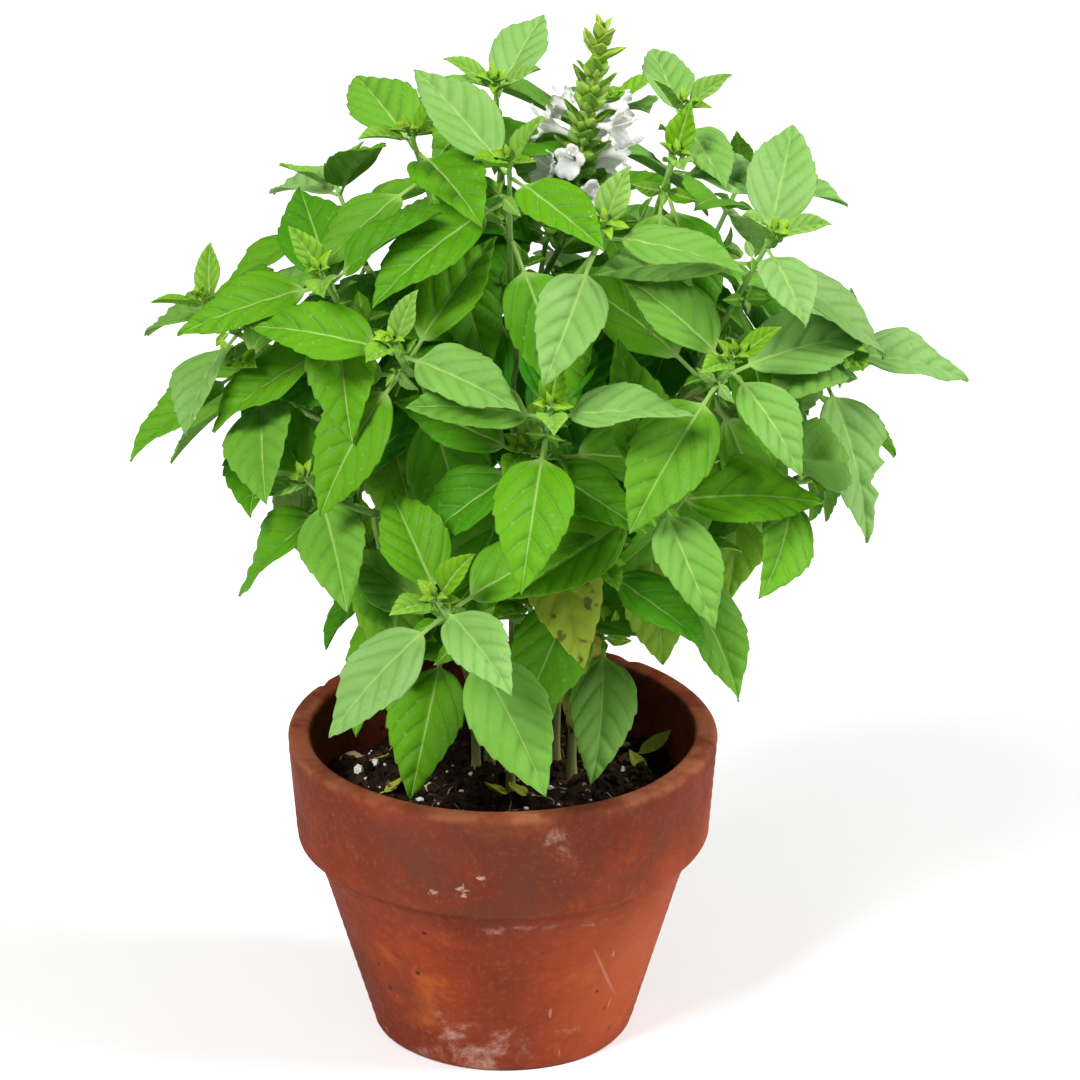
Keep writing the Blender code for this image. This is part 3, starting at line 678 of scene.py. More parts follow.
def leaf_body(leaf, teeth=8, side_columns=7, stalk_rows=4, relief=1.0):
    """A leaf as one closed body.

    Along it, the midrib bends through an angle that grows evenly: the run is the sine
    of that angle over the bend and the drop is one less its cosine over the bend.
    Across it, height is the fold (growing with distance from the midrib), plus humps
    between the side veins (a squared sine across the vein lines), plus a slow wave
    that is strongest at the edge, less a groove at the midrib.
    """
    length, width, bend = leaf["length"], leaf["width"], leaf["bend"]
    rows_in_tooth = TOOTH_ROWS if teeth > 5 else TOOTH_ROWS[1::3]
    tooth = np.repeat(np.arange(teeth), len(rows_in_tooth))
    blade = np.concatenate([(tooth + np.tile(rows_in_tooth, teeth)) / teeth * 0.985, [0.9995]])
    stalk = np.linspace(-1.0, -0.1, stalk_rows)
    share = np.concatenate([np.zeros(stalk_rows), blade])[:, None]
    before = np.concatenate([stalk, np.zeros(len(blade))])[:, None]
    v = columns_across(side_columns)
    ring = np.concatenate([v, v[-2:0:-1]])[None, :]
    upper = np.concatenate([np.ones(len(v)), -np.ones(len(v) - 2)])[None, :]
    upper = np.where(np.abs(ring) > 0.999, 0.0, upper)

    # the toothed edge, with the teeth of the two sides out of step
    step = share * teeth + np.where(ring > 0, 0.0, 0.5)
    rise = (step % 1.0) ** 0.8
    tooth_depth = leaf.get("tooth", 0.075) * blend_in(0.18, 0.42, share) * (1 - blend_in(0.93, 1.0, share))
    open_blade = blend_in(0.0, 0.10, share)
    half = width * half_width(share) * (1.0 + tooth_depth * (rise - 0.55))
    if "bitten" in leaf:
        bite = np.interp(share, leaf["bitten"][0], leaf["bitten"][1])
        half = half * np.where(ring < 0, bite, 1.0)
    stalk_half = leaf["stalk_half"] * (1.0 + 0.35 * blend_in(-0.35, -1.0, before))
    half = np.maximum(half, stalk_half * (1.0 - blend_in(0.0, 0.9, share) * 0.9))
    x = ring * half
    reach = np.abs(ring)

    # how high the skin stands off the bent middle surface
    vein = (share * length - 0.95 * np.abs(x) - 42.0 * x * x) / (length / leaf.get("veins", 5.0))
    hump = np.sin(np.pi * vein) ** 2
    puff = leaf["puff"] * relief * hump * reach ** 0.5 * (1.0 - reach ** 3) * open_blade
    puff = puff * (1.0 - 0.7 * blend_in(0.75, 1.0, share))
    fold = half * (leaf["fold"] * reach - 0.12 * reach ** 2) * open_blade
    wave = leaf["wave"] * length * np.sin(2 * np.pi * leaf["beats"] * share + leaf["phase"]) \
        * reach ** 2 * open_blade * np.sign(ring) ** leaf["even"]
    groove = -0.00030 * relief * np.exp(-(x / 0.0006) ** 2) * open_blade
    middle = fold + wave + puff + groove
    rib = np.exp(-(x / 0.00062) ** 2) * (1.0 - 0.75 * share)
    oval = np.sqrt(np.clip(1.0 - ring ** 2, 0.0, 1.0))
    blade_skin = np.where(upper > 0, 0.00012, -0.00016 - 0.00075 * rib * relief) * (upper != 0)
    stalk_skin = leaf["stalk_half"] * oval * np.where(upper >= 0, 0.75, -0.95)
    height = middle + blade_skin * open_blade + stalk_skin * (1.0 - open_blade)

    # carry the rings along the stalk and the bending midrib
    angle = bend * share
    forward = leaf["way"]
    face = leaf["face"]
    across = np.cross(forward, face)
    turn = leaf["twist"] * share
    run = leaf["stalk"] * (1.0 + before) + length * np.sin(angle) / bend
    drop = length * (1.0 - np.cos(angle)) / bend
    lean = length * leaf["curve"] * share ** 2
    up = face * np.cos(angle)[..., None] + forward * np.sin(angle)[..., None]
    side = across * np.ones_like(angle)[..., None]
    wide = side * np.cos(turn)[..., None] + up * np.sin(turn)[..., None]
    high = up * np.cos(turn)[..., None] - side * np.sin(turn)[..., None]
    spine = leaf["base"] + forward * run[..., None] - face * drop[..., None] \
        + across * lean[..., None]
    ahead = (rise - 0.5) * tooth_depth * width * 0.40 * reach ** 3
    tangent = forward * np.cos(angle)[..., None] - face * np.sin(angle)[..., None]
    rings = spine + wide * x[..., None] + high * height[..., None] + tangent * ahead[..., None]

    body = skin(rings)
    # what the finish reads at each point; the last two points close the ends
    for key, value in (("vein_place", vein + 40.0), ("across", reach), ("aside", np.abs(x) * 1000.0),
                       ("stalk", 1.0 - open_blade), ("under", (upper < 0) * open_blade),
                       ("along", share), ("youth", leaf["youth"]), ("tone", leaf["tone"]),
                       ("wither", leaf.get("wither", 0.0))):
        value = np.broadcast_to(value, x.shape).ravel().astype(float)
        body[key] = np.concatenate([value, value[[0, -1]]])
    return facing_out(body)

# %% The differences between leaves
FULL_LEAF = 0.050       # the blade that the sizes below belong to


def dress(leaf, chance):
    """Fill in what makes this leaf its own: fold, twist, wave, colour and stalk."""
    stage = leaf["stage"]
    size = leaf["length"] / FULL_LEAF
    leaf["youth"] = float(np.clip(1.0 - stage / 3.0, 0.0, 1.0))
    leaf["tone"] = float(chance.normal(0.0, 1.0))
    leaf["fold"] = 0.34 + 0.16 * leaf["youth"] + 0.06 * chance.normal()
    leaf["twist"] = 0.20 * chance.normal()
    leaf["curve"] = 0.045 * chance.normal()
    leaf["wave"] = 0.014 + 0.009 * abs(chance.normal())
    leaf["beats"] = 1.2 + 0.8 * chance.random()
    leaf["phase"] = 2 * np.pi * chance.random()
    leaf["even"] = int(chance.integers(1, 3))
    leaf["puff"] = 0.00205 * size * (1.0 + 0.9 * leaf["youth"])
    leaf["stalk_half"] = 0.00078 * np.clip(size, 0.35, 1.0)
    return leaf

# %% [markdown]
# ## Inner shoots
# The plan's shoots reach the outside of the bush. Inside it short side shoots grow in
# the shade of the others. They fill the middle and hide most of the bare stems, so they
# are added here with the same rules.

# %% Shoots inside the bush
BLADE[1] = 0.020        # the second pair is part of the star of leaves at every tip
DROPPED |= {"upper_right_3a", "right_upper_2a", "upper_right_4b",
            "right_upper_3b", "centre_2a"}        # these would hide the flowers
SHOOTS.update({
    "in_front": ("front", 0.30, (0.010, -0.048, 0.072), -90, 45, 20, 4, 0.7),
    "in_left": ("left", 0.24, (-0.050, -0.012, 0.078), -160, 46, 50, 4, 0.6),
    "in_right": ("right", 0.24, (0.068, -0.012, 0.080), -20, 46, 30, 4, 0.6),
    "in_back_left": ("back_left", 0.22, (-0.048, 0.062, 0.080), 140, 46, 10, 4, 0.6),
    "in_back_right": ("back_right", 0.22, (0.052, 0.068, 0.078), 45, 46, 70, 4, 0.6),
    "in_crown": ("crown", 0.40, (0.008, -0.056, 0.135), -95, 50, 60, 4, 0.6),
    "in_upper_left": ("upper_left", 0.40, (-0.062, 0.014, 0.140), 170, 48, 30, 4, 0.6),
    "in_upper_right": ("upper_right", 0.40, (0.080, 0.018, 0.142), 15, 48, 0, 4, 0.6),
    "in_back": ("crown_back", 0.34, (-0.008, 0.074, 0.132), 100, 48, 45, 4, 0.5),
    "base_right": ("right", 0.15, (0.040, -0.028, 0.054), -70, 60, 0, 3, 0.9),
    "base_left": ("left", 0.13, (-0.026, -0.028, 0.050), -120, 58, 0, 3, 0.8),
})

# %% [markdown]
# ## Placing every leaf
# On a real bush the leaves push each other aside. Here the leaves that the solid model
# has as pieces of their own are placed first, exactly where the plan says. Each of the
# others is then tried at its planned place and, if it would run through a stem or a
# leaf already there, at a few places swung and lifted a little to the side. A search
# tree over faces answers quickly whether two leaves cross.

# %% A plain stand-in for a leaf, for testing
def stand_in(leaf, rows=6):
    """A thin three-column sheet with the bend of a leaf, as points and triangles."""
    share = np.linspace(0.0, 1.0, rows + 1)
    run = leaf["length"] * np.sin(leaf["bend"] * share) / leaf["bend"]
    drop = leaf["length"] * (1.0 - np.cos(leaf["bend"] * share)) / leaf["bend"]
    across = np.cross(leaf["way"], leaf["face"])
    half = np.maximum(leaf["width"] * half_width(share), 0.0007)[:, None]
    middle = leaf["base"] + leaf["way"] * (leaf["stalk"] + run)[:, None] - leaf["face"] * drop[:, None]
    rise = leaf["face"] * half * 0.28
    points = np.stack([middle - across * half + rise, middle, middle + across * half + rise], 1)
    points = np.concatenate([points.reshape(-1, 3), points.reshape(-1, 3) + leaf["face"] * 0.0012])
    sheet = grid_faces(rows + 1, 3, round_columns=False)
    sheet = np.concatenate([sheet, sheet + len(points) // 2])
    return points, np.concatenate([sheet[:, :3], sheet[:, [0, 2, 3]]])


def tree_of(points, triangles):
    """A search tree, with the box round it for a quick first test."""
    tree = BVHTree.FromPolygons(points.tolist(), triangles.tolist(), all_triangles=True)
    return {"tree": tree, "low": points.min(0), "high": points.max(0)}


def crossings(one, others):
    """How many of the others a thing runs through."""
    count = 0
    for other in others:
        if np.all(one["low"] < other["high"]) and np.all(other["low"] < one["high"]):
            count += bool(one["tree"].overlap(other["tree"]))
    return count


def swung(leaf, turn, lift):
    """The same leaf turned about its stem and lifted, both in degrees."""
    turn, lift = np.radians([turn, lift])
    along = leaf["along"]

    def spin(v):
        return (v * np.cos(turn) + np.cross(along, v) * np.sin(turn)
                + along * (along @ v) * (1 - np.cos(turn)))

    moved = dict(leaf)
    point = leaf["base"] - leaf["out"] * leaf["off"]
    moved["out"] = spin(leaf["out"])
    moved["base"] = point + moved["out"] * leaf["off"]
    way = spin(leaf["way"])
    face = spin(leaf["face"])
    moved["way"] = unit(way * np.cos(lift) + face * np.sin(lift))
    moved["face"] = square_to(face, moved["way"])
    return moved

# %% Placing the leaves in turn
paths = grow_paths()
plan = grow_leaves(paths)
own = [name for name in plan if "leaf_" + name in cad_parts]
rest = sorted((name for name in plan if name not in own), key=lambda n: -plan[n]["length"])
placed = {name: plan[name] for name in own}
trees = [tree_of(*stand_in(plan[name])) for name in own]
for name in SHOOTS:
    line = paths[name][::8]
    wide = np.repeat(line, 2, axis=0) + np.tile([[0.0012, 0, 0], [-0.0012, 0, 0]], (len(line), 1))
    ribbon = grid_faces(len(line), 2, round_columns=False)
    trees.append(tree_of(wide, np.concatenate([ribbon[:, :3], ribbon[:, [0, 2, 3]]])))

TRIES = [(0, 0), (12, 0), (-12, 0), (0, 10), (0, -10), (20, 8), (-20, 8), (20, -8), (-20, -8),
         (32, 0), (-32, 0), (0, 20), (0, -20), (40, 14), (-40, 14)]
SMALL_LEAF = 0.015      # shorter blades give way and need no test
LEFT_OUT = 0.030        # shorter blades than this are left out if they still cross
still_crossing = 0
for name in rest:
    best = None
    for turn, lift in TRIES:
        moved = swung(plan[name], turn, lift)
        test = tree_of(*stand_in(moved))
        count = crossings(test, trees) if moved["length"] > SMALL_LEAF else 0
        if best is None or count < best[0]:
            best = (count, moved, test)
        if count == 0:
            break
    if best[0] > 0 and best[1]["length"] < LEFT_OUT:
        continue
    still_crossing += best[0] > 0
    placed[name] = best[1]
    if best[1]["length"] > SMALL_LEAF:
        trees.append(best[2])
print(len(own), "leaves of their own,", len(rest), "more,", still_crossing, "still crossing")

# %% Small shoots in the angles of the leaves
GOLDEN_TURN = 137.5     # degrees from one young leaf to the next round a tip


def axil_shoots(leaves, chance):
    """Two or four small leaves in the angle between an older leaf and its stem."""
    small = {}
    for name, leaf in leaves.items():
        if leaf["stage"] < 2.4 or chance.random() < 0.25:
            continue
        lift = unit(leaf["along"] + 0.9 * leaf["out"])
        across = np.cross(leaf["along"], leaf["out"])
        grown = chance.uniform(0.5, 1.0) * np.interp(leaf["stage"], [2.4, 5.5], [0.010, 0.019])
        foot = leaf["base"] + leaf["along"] * 0.0012 - leaf["out"] * 0.0004
        for part in range(4 if grown > 0.009 else 2):
            size = grown * (1.0 if part < 2 else 0.55)
            side = across if part < 2 else unit(np.cross(lift, across))
            side = side * (-1.0) ** part
            raised = np.radians(chance.uniform(15, 40) if part < 2 else chance.uniform(45, 65))
            way = unit(np.cos(raised) * side + np.sin(raised) * lift)
            small["%s_%d" % (name, part)] = {
                "shoot": leaf["shoot"], "stage": 1.2, "way": way, "face": square_to(lift, way),
                "base": foot + lift * (0.25 if part < 2 else 0.42) * grown, "length": size,
                "width": size * 0.50, "stalk": size * 0.12, "bend": 0.5, "foot": foot}
    return small


def tip_tufts(chance):
    """Eight tiny leaves round every growing tip, each raised more than the last."""
    tufts = {}
    for shoot in SHOOTS:
        if shoot == "spike":
            continue
        axis = unit(paths[shoot][-1] - paths[shoot][-4])
        for part in range(8):
            out = outward(axis, np.radians(GOLDEN_TURN * part + chance.uniform(-12, 12)))
            raised = np.radians(18 + 7.5 * part)
            way = unit(np.cos(raised) * out + np.sin(raised) * axis)
            size = (0.0086 - 0.0005 * part) * chance.uniform(0.85, 1.15)
            base = paths[shoot][-1] + out * 0.0005 + axis * 0.0004 * part
            tufts["%s_tuft_%d" % (shoot, part)] = {
                "shoot": shoot, "stage": 0.0, "way": way,
                "face": square_to(axis, way), "length": size, "bend": 0.6,
                "base": base, "foot": base - axis * 0.001,
                "width": size * 0.52, "stalk": size * 0.08}
    return tufts


chance = np.random.default_rng(21)
little = axil_shoots(placed, chance)
little.update(tip_tufts(np.random.default_rng(5)))


def is_clear(leaf):
    """Whether the outer part of a small leaf runs through none of the larger ones."""
    skipped = 0.45 * leaf["length"]
    outer = dict(leaf, base=leaf["base"] + leaf["way"] * (leaf["stalk"] + skipped),
                 stalk=0.0, length=leaf["length"] - skipped)
    return crossings(tree_of(*stand_in(outer)), trees) == 0


little = {name: leaf for name, leaf in little.items() if is_clear(leaf)}
print(len(little), "small leaves in the axils and at the tips")

# %% [markdown]
# ## Making the leaves
# The leaves of the solid model become objects of their own, each standing for its node.
# The others on a shoot are joined into one object per shoot, because a few dozen
# objects are easier to keep than three hundred. The lowest leaves are the oldest, so a
# few of them yellow and spot, and a caterpillar has been at the edge of one.

# %% Old and eaten leaves
AGED = {"low_centre_4a": 0.95, "front_5b": 0.45, "left_low_4b": 0.30, "left_5a": 0.22,
        "low_left_4a": 0.20, "back_low_4b": 0.35, "back_far_right_4a": 0.25, "low_right_4a": 0.30}
BITE = ([0.0, 0.34, 0.42, 0.50, 0.55, 0.62, 0.70, 0.76, 0.84, 1.0],
        [1.0, 1.0, 0.60, 0.85, 0.48, 0.40, 0.74, 0.50, 0.62, 0.9])


# %% Leaf objects
BUSH_MIDDLE, BUSH_REACH = np.array([0.0, 0.01, 0.24]), np.array([0.135, 0.115, 0.135])
for name in placed:
    leaf = dress(placed[name], chance)
    middle = leaf["base"] + leaf["way"] * leaf["length"] * 0.6
    # painted sheen and shade: a leaf far out in the bush gets a higher tone, so a paler colour, and one
    # inside a deeper colour
    painted_light_outwards = np.linalg.norm((middle - BUSH_MIDDLE) / BUSH_REACH) - 0.72
    leaf["tone"] = 0.65 * leaf["tone"] + 3.4 * painted_light_outwards
    placed[name]["wither"] = AGED.get(name, 0.0)
    if name == "far_right_3a":
        placed[name]["bitten"] = BITE
for name in little:
    dress(little[name], chance)
for name in own:
    make_piece("basil_leaf_" + name, leaf_body(placed[name]), leaf_finish, "leaf", "leaf_" + name)
for shoot in SHOOTS:
    grown = []
    for name, leaf in placed.items():
        if leaf["shoot"] != shoot or name in own:
            continue
        grown.append(leaf_body(leaf, *(WHOLE if leaf["length"] > SMALL_LEAF else MEDIUM)))
    grown += [leaf_body(leaf, *TINY) for leaf in little.values() if leaf["shoot"] == shoot]
    if grown:
        make_piece("leaves_" + shoot, joined(grown), leaf_finish, "leaf")
print("leaf faces", sum(count for _, count in pieces_made))

# %% [markdown]
# ## The stems
# Basil has the square stem of the mint family: four rounded corners with a shallow
# groove on each side, and a slight swelling where each pair of leaves stands. A round
# bevelled curve would miss both. A ring whose radius rises four times round is carried
# along each path instead, and the branches start inside the stem they grow from.

# %% Stem bodies
RING = 16
STEM_STEP = 0.0016


def frames_along(line):
    """The direction of a line at each point, and two directions square to it."""
    along = np.gradient(line, axis=0)
    along = along / np.linalg.norm(along, axis=1, keepdims=True)
    across = np.array([1.0, 0.0, 0.0]) - along[:, :1] * along
    across = across / np.linalg.norm(across, axis=1, keepdims=True)
    return along, across, np.cross(along, across)


def tube(line, radius, sides):
    """A closed tube round a line: each ring is line + radius (across cos t + forward sin t)."""
    _, across, forward = frames_along(line)
    t = 2 * np.pi * np.arange(sides) / sides
    spin = (across[:, None] * np.cos(t)[None, :, None]
            + forward[:, None] * np.sin(t)[None, :, None])
    return skin(line[:, None] + np.asarray(radius)[..., None] * spin)


def stem_body(name, line):
    """Rings of radius R(1 + a cos 4t), swollen by a bell curve at every pair of leaves."""
    steps = lengths_along(line)
    count = int(steps[-1] / STEM_STEP)
    fine = points_at(line, steps, np.linspace(0.0, steps[-1], count))
    share = np.linspace(0.0, 1.0, count)
    radius = radius_at(name, share)
    if SHOOTS[name][0] is None:
        foot = np.array([fine[0, 0], fine[0, 1], SOIL_HEIGHT - 0.020])
        below = np.linspace(foot, fine[0], 8)[:-1]
        fine = np.concatenate([below, fine])
        share = np.concatenate([np.zeros(7), share])
        radius = np.concatenate([np.full(7, radius[0]), radius])
        radius = radius * (1.0 + 0.35 * np.exp(-((fine[:, 2] - SOIL_HEIGHT) / 0.005) ** 2))
    for leaf in placed.values():
        if leaf["shoot"] == name:
            point = leaf["base"] - leaf["out"] * leaf["off"]
            near = np.linalg.norm(fine - point, axis=1)
            radius = radius * (1.0 + 0.10 * np.exp(-(near / 0.0016) ** 2))
    t = 2 * np.pi * np.arange(RING) / RING
    square = 1.0 + 0.085 * np.cos(4 * (t - np.pi / 4))
    body = tube(fine, radius[:, None] * square[None, :], RING)
    youth = np.repeat(share, RING)
    body["youth"] = np.concatenate([youth, [youth[0], youth[-1]]])
    return facing_out(body)


def root_of(name):
    """The stem in the soil that a shoot belongs to."""
    while SHOOTS[name][0] is not None:
        name = SHOOTS[name][0]
    return name


def axil_stalks(root):
    """The thread-like stalks that carry the small leaves of the axils."""
    stalks = []
    for leaf in little.values():
        if root_of(leaf["shoot"]) == root and leaf["length"] > 0.006:
            line = np.linspace(leaf["foot"] - leaf["face"] * 0.0008, leaf["base"], 4)
            body = tube(line, 0.0006, 6)
            body["youth"] = np.ones(len(body["points"]))
            stalks.append(facing_out(body))
    return stalks


for root in SHOOTS:
    if SHOOTS[root][0] is None:
        family = [name for name in SHOOTS if root_of(name) == root]
        bodies = [stem_body(name, paths[name]) for name in family] + axil_stalks(root)
        make_piece("green_stem_" + root, joined(bodies), stem_finish, "stem", "stem_" + root)

# %% [markdown]
# ## The flower spike
# Basil flowers in rings up a spike. Each ring is six little green cups, the calyces,
# over a pair of small leaf-like bracts, and the spike ends in a bright tuft of young
# bracts. A few flowers are open low down: white, with four lobes standing up
# and one lip below, and stamens that stick out.

# %% Cups, bracts and buds
def cup_body(foot, way, size, youth):
    """A calyx: rings along a line whose radius swells and then draws in to a point."""
    share = np.array([0.0, 0.12, 0.36, 0.62, 0.82, 1.0])
    swell = np.array([0.30, 0.80, 1.00, 0.84, 0.46, 0.06])
    along = unit(way)
    across = unit(np.cross(along, [0.3, 0.2, 0.9]))
    forward = np.cross(along, across)
    t = 2 * np.pi * np.arange(8) / 8
    reach = (size * 0.255 * swell)[:, None] * (1.0 + 0.12 * np.cos(4 * t))[None, :]
    rings = foot + along * (share * size)[:, None, None] + reach[..., None] * (
        across * np.cos(t)[None, :, None] + forward * np.sin(t)[None, :, None])
    body = skin(rings)
    body["youth"] = np.full(len(body["points"]), youth)
    return facing_out(body)


_, _, spike_axis = spike_place(paths, 0, 0.0)
spike_foot = paths["spike"][-1]
cups = []
bracts = []
for ring in range(SPIKE_RINGS - 1):
    for place in range(6):
        heading = 60.0 * place + 30.0 * ring + 8.0 * chance.normal()
        rim, out, axis = spike_place(paths, ring, heading)
        foot = rim - out * (ring_radius(ring) - 0.0010) - axis * (0.0008 + 0.0022 * chance.random())
        way = out + axis * (0.45 + 0.09 * ring)
        cups.append(cup_body(foot, way, ring_radius(ring) * chance.uniform(1.12, 1.50),
                             ring / (SPIKE_RINGS - 1)))
    for side in (0, 1):
        rim, out, axis = spike_place(paths, ring, 85.0 * ring + 180.0 * side + 20.0)
        way = unit(out + (0.45 + 0.10 * ring) * axis)
        bracts.append(dress({
            "stage": 1.2 - 0.09 * ring, "way": way, "face": square_to(axis, way),
            "base": rim - out * (ring_radius(ring) - 0.0010) - axis * 0.0020,
            "length": 0.0130 - 0.0003 * ring, "width": 0.0070,
            "stalk": 0.0010, "bend": -0.35}, chance))
tuft = []
for place in range(10):
    height = 0.0525 + 0.0095 * place / 9
    _, out, axis = spike_place(paths, 0, GOLDEN_TURN * place)
    way = unit(out * (1.45 - place / 12) + axis * (0.55 + place / 10))
    tuft.append(dress({
        "stage": 0.0, "way": way, "face": square_to(axis - 0.4 * out, way),
        "base": spike_foot + axis * height, "length": 0.0112 - 0.0004 * place,
        "width": 0.0060, "stalk": 0.0006, "bend": -0.45}, chance))

# %% The spike's stalk and its pieces
STALK_POINTS = 60
stalk_line = spike_foot + spike_axis * np.linspace(-0.004, SPIKE_LENGTH * 0.93, STALK_POINTS)[:, None]
turn = 2 * np.pi * np.arange(RING) / RING
stalk_reach = np.linspace(0.00090, 0.00065, STALK_POINTS)[:, None] * (1.0 + 0.08 * np.cos(4 * turn))
stalk = tube(stalk_line, stalk_reach, RING)
stalk["youth"] = np.full(len(stalk["points"]), 0.8)
young = [leaf_body(leaf, *BRACT) for leaf in tuft]
make_piece("spike_cups", joined([facing_out(stalk)] + cups + young), calyx_finish, "calyx",
           "flower_spike")
make_piece("spike_bracts", joined([leaf_body(leaf, *BRACT) for leaf in bracts]), leaf_finish,
           "leaf")

# %% Open flowers
def flower_body(foot, way, up, size):
    """A thin trumpet whose mouth is lobed: outer wall up, round the edge, inner wall back.

    The mouth's radius is a round plus a five-lobed cosine, longer on the lower side.
    """
    wall = np.array([0.0, 0.12, 0.30, 0.48, 0.64, 0.78, 0.90, 1.0])
    flare = np.interp(wall, [0.0, 0.35, 0.60, 0.80, 1.0], [0.14, 0.20, 0.42, 0.80, 1.0])
    depth = np.interp(wall, [0.0, 0.60, 0.85, 1.0], [0.0, 0.80, 0.98, 0.92])
    t = 2 * np.pi * np.arange(45) / 45
    lobes = 0.66 + 0.34 * np.abs(np.cos(2.5 * t)) ** 0.7 + 0.40 * np.exp(-((t - np.pi) / 0.5) ** 2)
    strength = blend_in(0.45, 1.0, wall)[:, None]
    radius = size * 0.5 * flare[:, None] * (1.0 + (lobes[None, :] - 1.0) * strength)
    forward_by = size * 0.85 * depth[:, None] * np.ones_like(t)[None, :]
    frill = 0.10 * np.cos(5 * t) + 0.05 * np.cos(13 * t + 1.0)
    forward_by = forward_by + size * frill[None, :] * strength ** 2
    along = unit(way)
    top = square_to(up, along)
    side = np.cross(along, top)
    spin = top * np.cos(t)[:, None] + side * np.sin(t)[:, None]
    outer = foot + along * forward_by[..., None] + spin[None] * radius[..., None]
    inner = foot + along * (forward_by + 0.00012)[..., None] \
        + spin[None] * np.maximum(radius - 0.00018, radius * 0.5)[..., None]
    return facing_out(skin(np.concatenate([outer, inner[::-1][:-1]])))


def stamen_body(foot, way, up, length, lean):
    """A thread that arches up, with a small knob at its end."""
    share = np.linspace(0.0, 1.0, 8)
    along = unit(way)
    top = square_to(up, along)
    side = np.cross(along, top)
    line = foot + along * (share * length)[:, None] \
        + (top * 0.25 + side * lean) * (share ** 2 * length)[:, None]
    radius = np.interp(share, [0.0, 0.82, 0.86, 1.0], [0.00013, 0.00011, 0.00042, 0.00034])
    return facing_out(tube(line, radius[:, None], 6))


def open_flower(foot, out, axis, size):
    """A trumpet with four stamens."""
    way = unit(out + 0.25 * axis)
    parts = [flower_body(foot, way, axis, size)]
    parts += [stamen_body(foot + way * size * 0.2, way, axis, size * reach, lean)
              for reach, lean in ((1.10, 0.16), (1.18, 0.05), (1.15, -0.07), (1.05, -0.18))]
    return joined(parts)


for number, (ring, heading) in enumerate(FLOWERS):
    rim, out, axis = spike_place(paths, ring, heading)
    body = open_flower(rim - out * 0.0016, out, axis, 0.0140)
    make_piece("open_flower_%d" % (number + 1), body, petal_finish, "petal",
               "flower_%d" % (number + 1))
more = []
for ring, heading in ((0, 120), (1, 40), (2, -110), (3, 70), (4, 130), (5, -10)):
    rim, out, axis = spike_place(paths, ring, heading)
    more.append(open_flower(rim - out * 0.0016, out, axis, 0.0125))
make_piece("open_flowers_more", joined(more), petal_finish, "petal")
print("open flowers", len(FLOWERS) + len(more))

# %% [markdown]
# ## The pot
# A clay pot is turned on a wheel, so it is a profile carried round an axis. The profile
# here is closed: up the outside, over the lip, down the inside and back under the
# floor, with a drain hole in the middle. Each corner has its own worn radius, drawn as
# a short curve that leaves along one side and arrives along the other. A pot is never
# quite round, so the radius swells slowly two, three and seven times round, with faint
# rings left by the maker's fingers.

# %% The profile
def worn(corners, steps=5):
    """A closed line of corners (r, z, radius), each turned into a quadratic curve that
    starts and ends one radius away from it: (1-t)^2 a + 2t(1-t) corner + t^2 b."""
    points = np.array([corner[:2] for corner in corners])
    t = np.linspace(0.0, 1.0, steps)[:, None]
    line = []
    for i, corner in enumerate(corners):
        before, after = points[i - 1], points[(i + 1) % len(points)]
        near, far = np.linalg.norm(before - points[i]), np.linalg.norm(after - points[i])
        a = points[i] + (before - points[i]) * min(corner[2], 0.45 * near) / near
        b = points[i] + (after - points[i]) * min(corner[2], 0.45 * far) / far
        line.append((1 - t) ** 2 * a + 2 * t * (1 - t) * points[i] + t ** 2 * b)
    return np.concatenate(line)


def filled(line, gap=0.0016):
    """The closed line with points added so that none are further apart than the gap."""
    parts = []
    for a, b in zip(line, np.roll(line, -1, axis=0)):
        count = max(1, int(np.ceil(np.linalg.norm(b - a) / gap)))
        parts.append(a + (b - a) * np.arange(count)[:, None] / count)
    return np.concatenate(parts)


FLOOR = float(soil_low[2]) - 0.0003
POT_PROFILE = filled(worn([
    (0.0714, 0.1200, 0.0022), (0.0800, 0.1200, 0.0026), (0.0768, 0.0790, 0.0014),
    (0.0722, 0.0772, 0.0016), (0.0672, 0.0650, 0.0030), (0.0660, 0.0610, 0.0030),
    (0.0482, 0.0001, 0.0020), (0.0060, 0.0001, 0.0012), (0.0060, FLOOR, 0.0012),
    (0.0385, FLOOR, 0.0040), (0.0668, 0.0770, 0.0060), (0.0700, 0.1000, 0.0060)]))

# %% Turning it
def pot_body(around=300):
    """Rings of radius r(1 + slow swells) + finger rings, with a few chips out of the lip."""
    turn = 2 * np.pi * np.arange(around) / around
    radius, height = POT_PROFILE[:, :1], POT_PROFILE[:, 1:]
    swell = 0.0009 * np.cos(2 * turn + 0.7) + 0.0005 * np.cos(3 * turn + 2.0) + 0.0003 * np.cos(7 * turn)
    outer = blend_in(0.030, 0.045, radius)
    fingers = 0.00013 * np.sin(height * 2 * np.pi / 0.0045 + 1.5 * np.cos(turn)) * outer
    r = radius + radius / RIM_RADIUS * swell * outer * 0.6 + fingers
    z = height + 0.0004 * np.cos(turn - 0.8) * blend_in(0.05, 0.12, height)
    for place, size, depth in ((-1.35, 0.0016, 0.0007), (-0.52, 0.0022, 0.0008), (0.9, 0.0030, 0.0009),
                               (2.6, 0.0020, 0.0008), (4.1, 0.0026, 0.0010)):
        away = (np.abs((turn - place + np.pi) % (2 * np.pi) - np.pi) * RIM_RADIUS / size)
        lip = np.exp(-((height - RIM_HEIGHT) / 0.0022) ** 2) * np.exp(-((radius - 0.0790) / 0.0025) ** 2)
        chip = depth * lip * np.exp(-away ** 2)
        r = r - chip
        z = z - chip
    rings = np.stack([r * np.cos(turn), r * np.sin(turn), np.broadcast_to(z, r.shape)], -1)
    rows, columns = rings.shape[:2]
    body = {"points": rings.reshape(-1, 3),
            "faces": grid_faces(rows, columns, round_rows=True)}
    return facing_out(body)


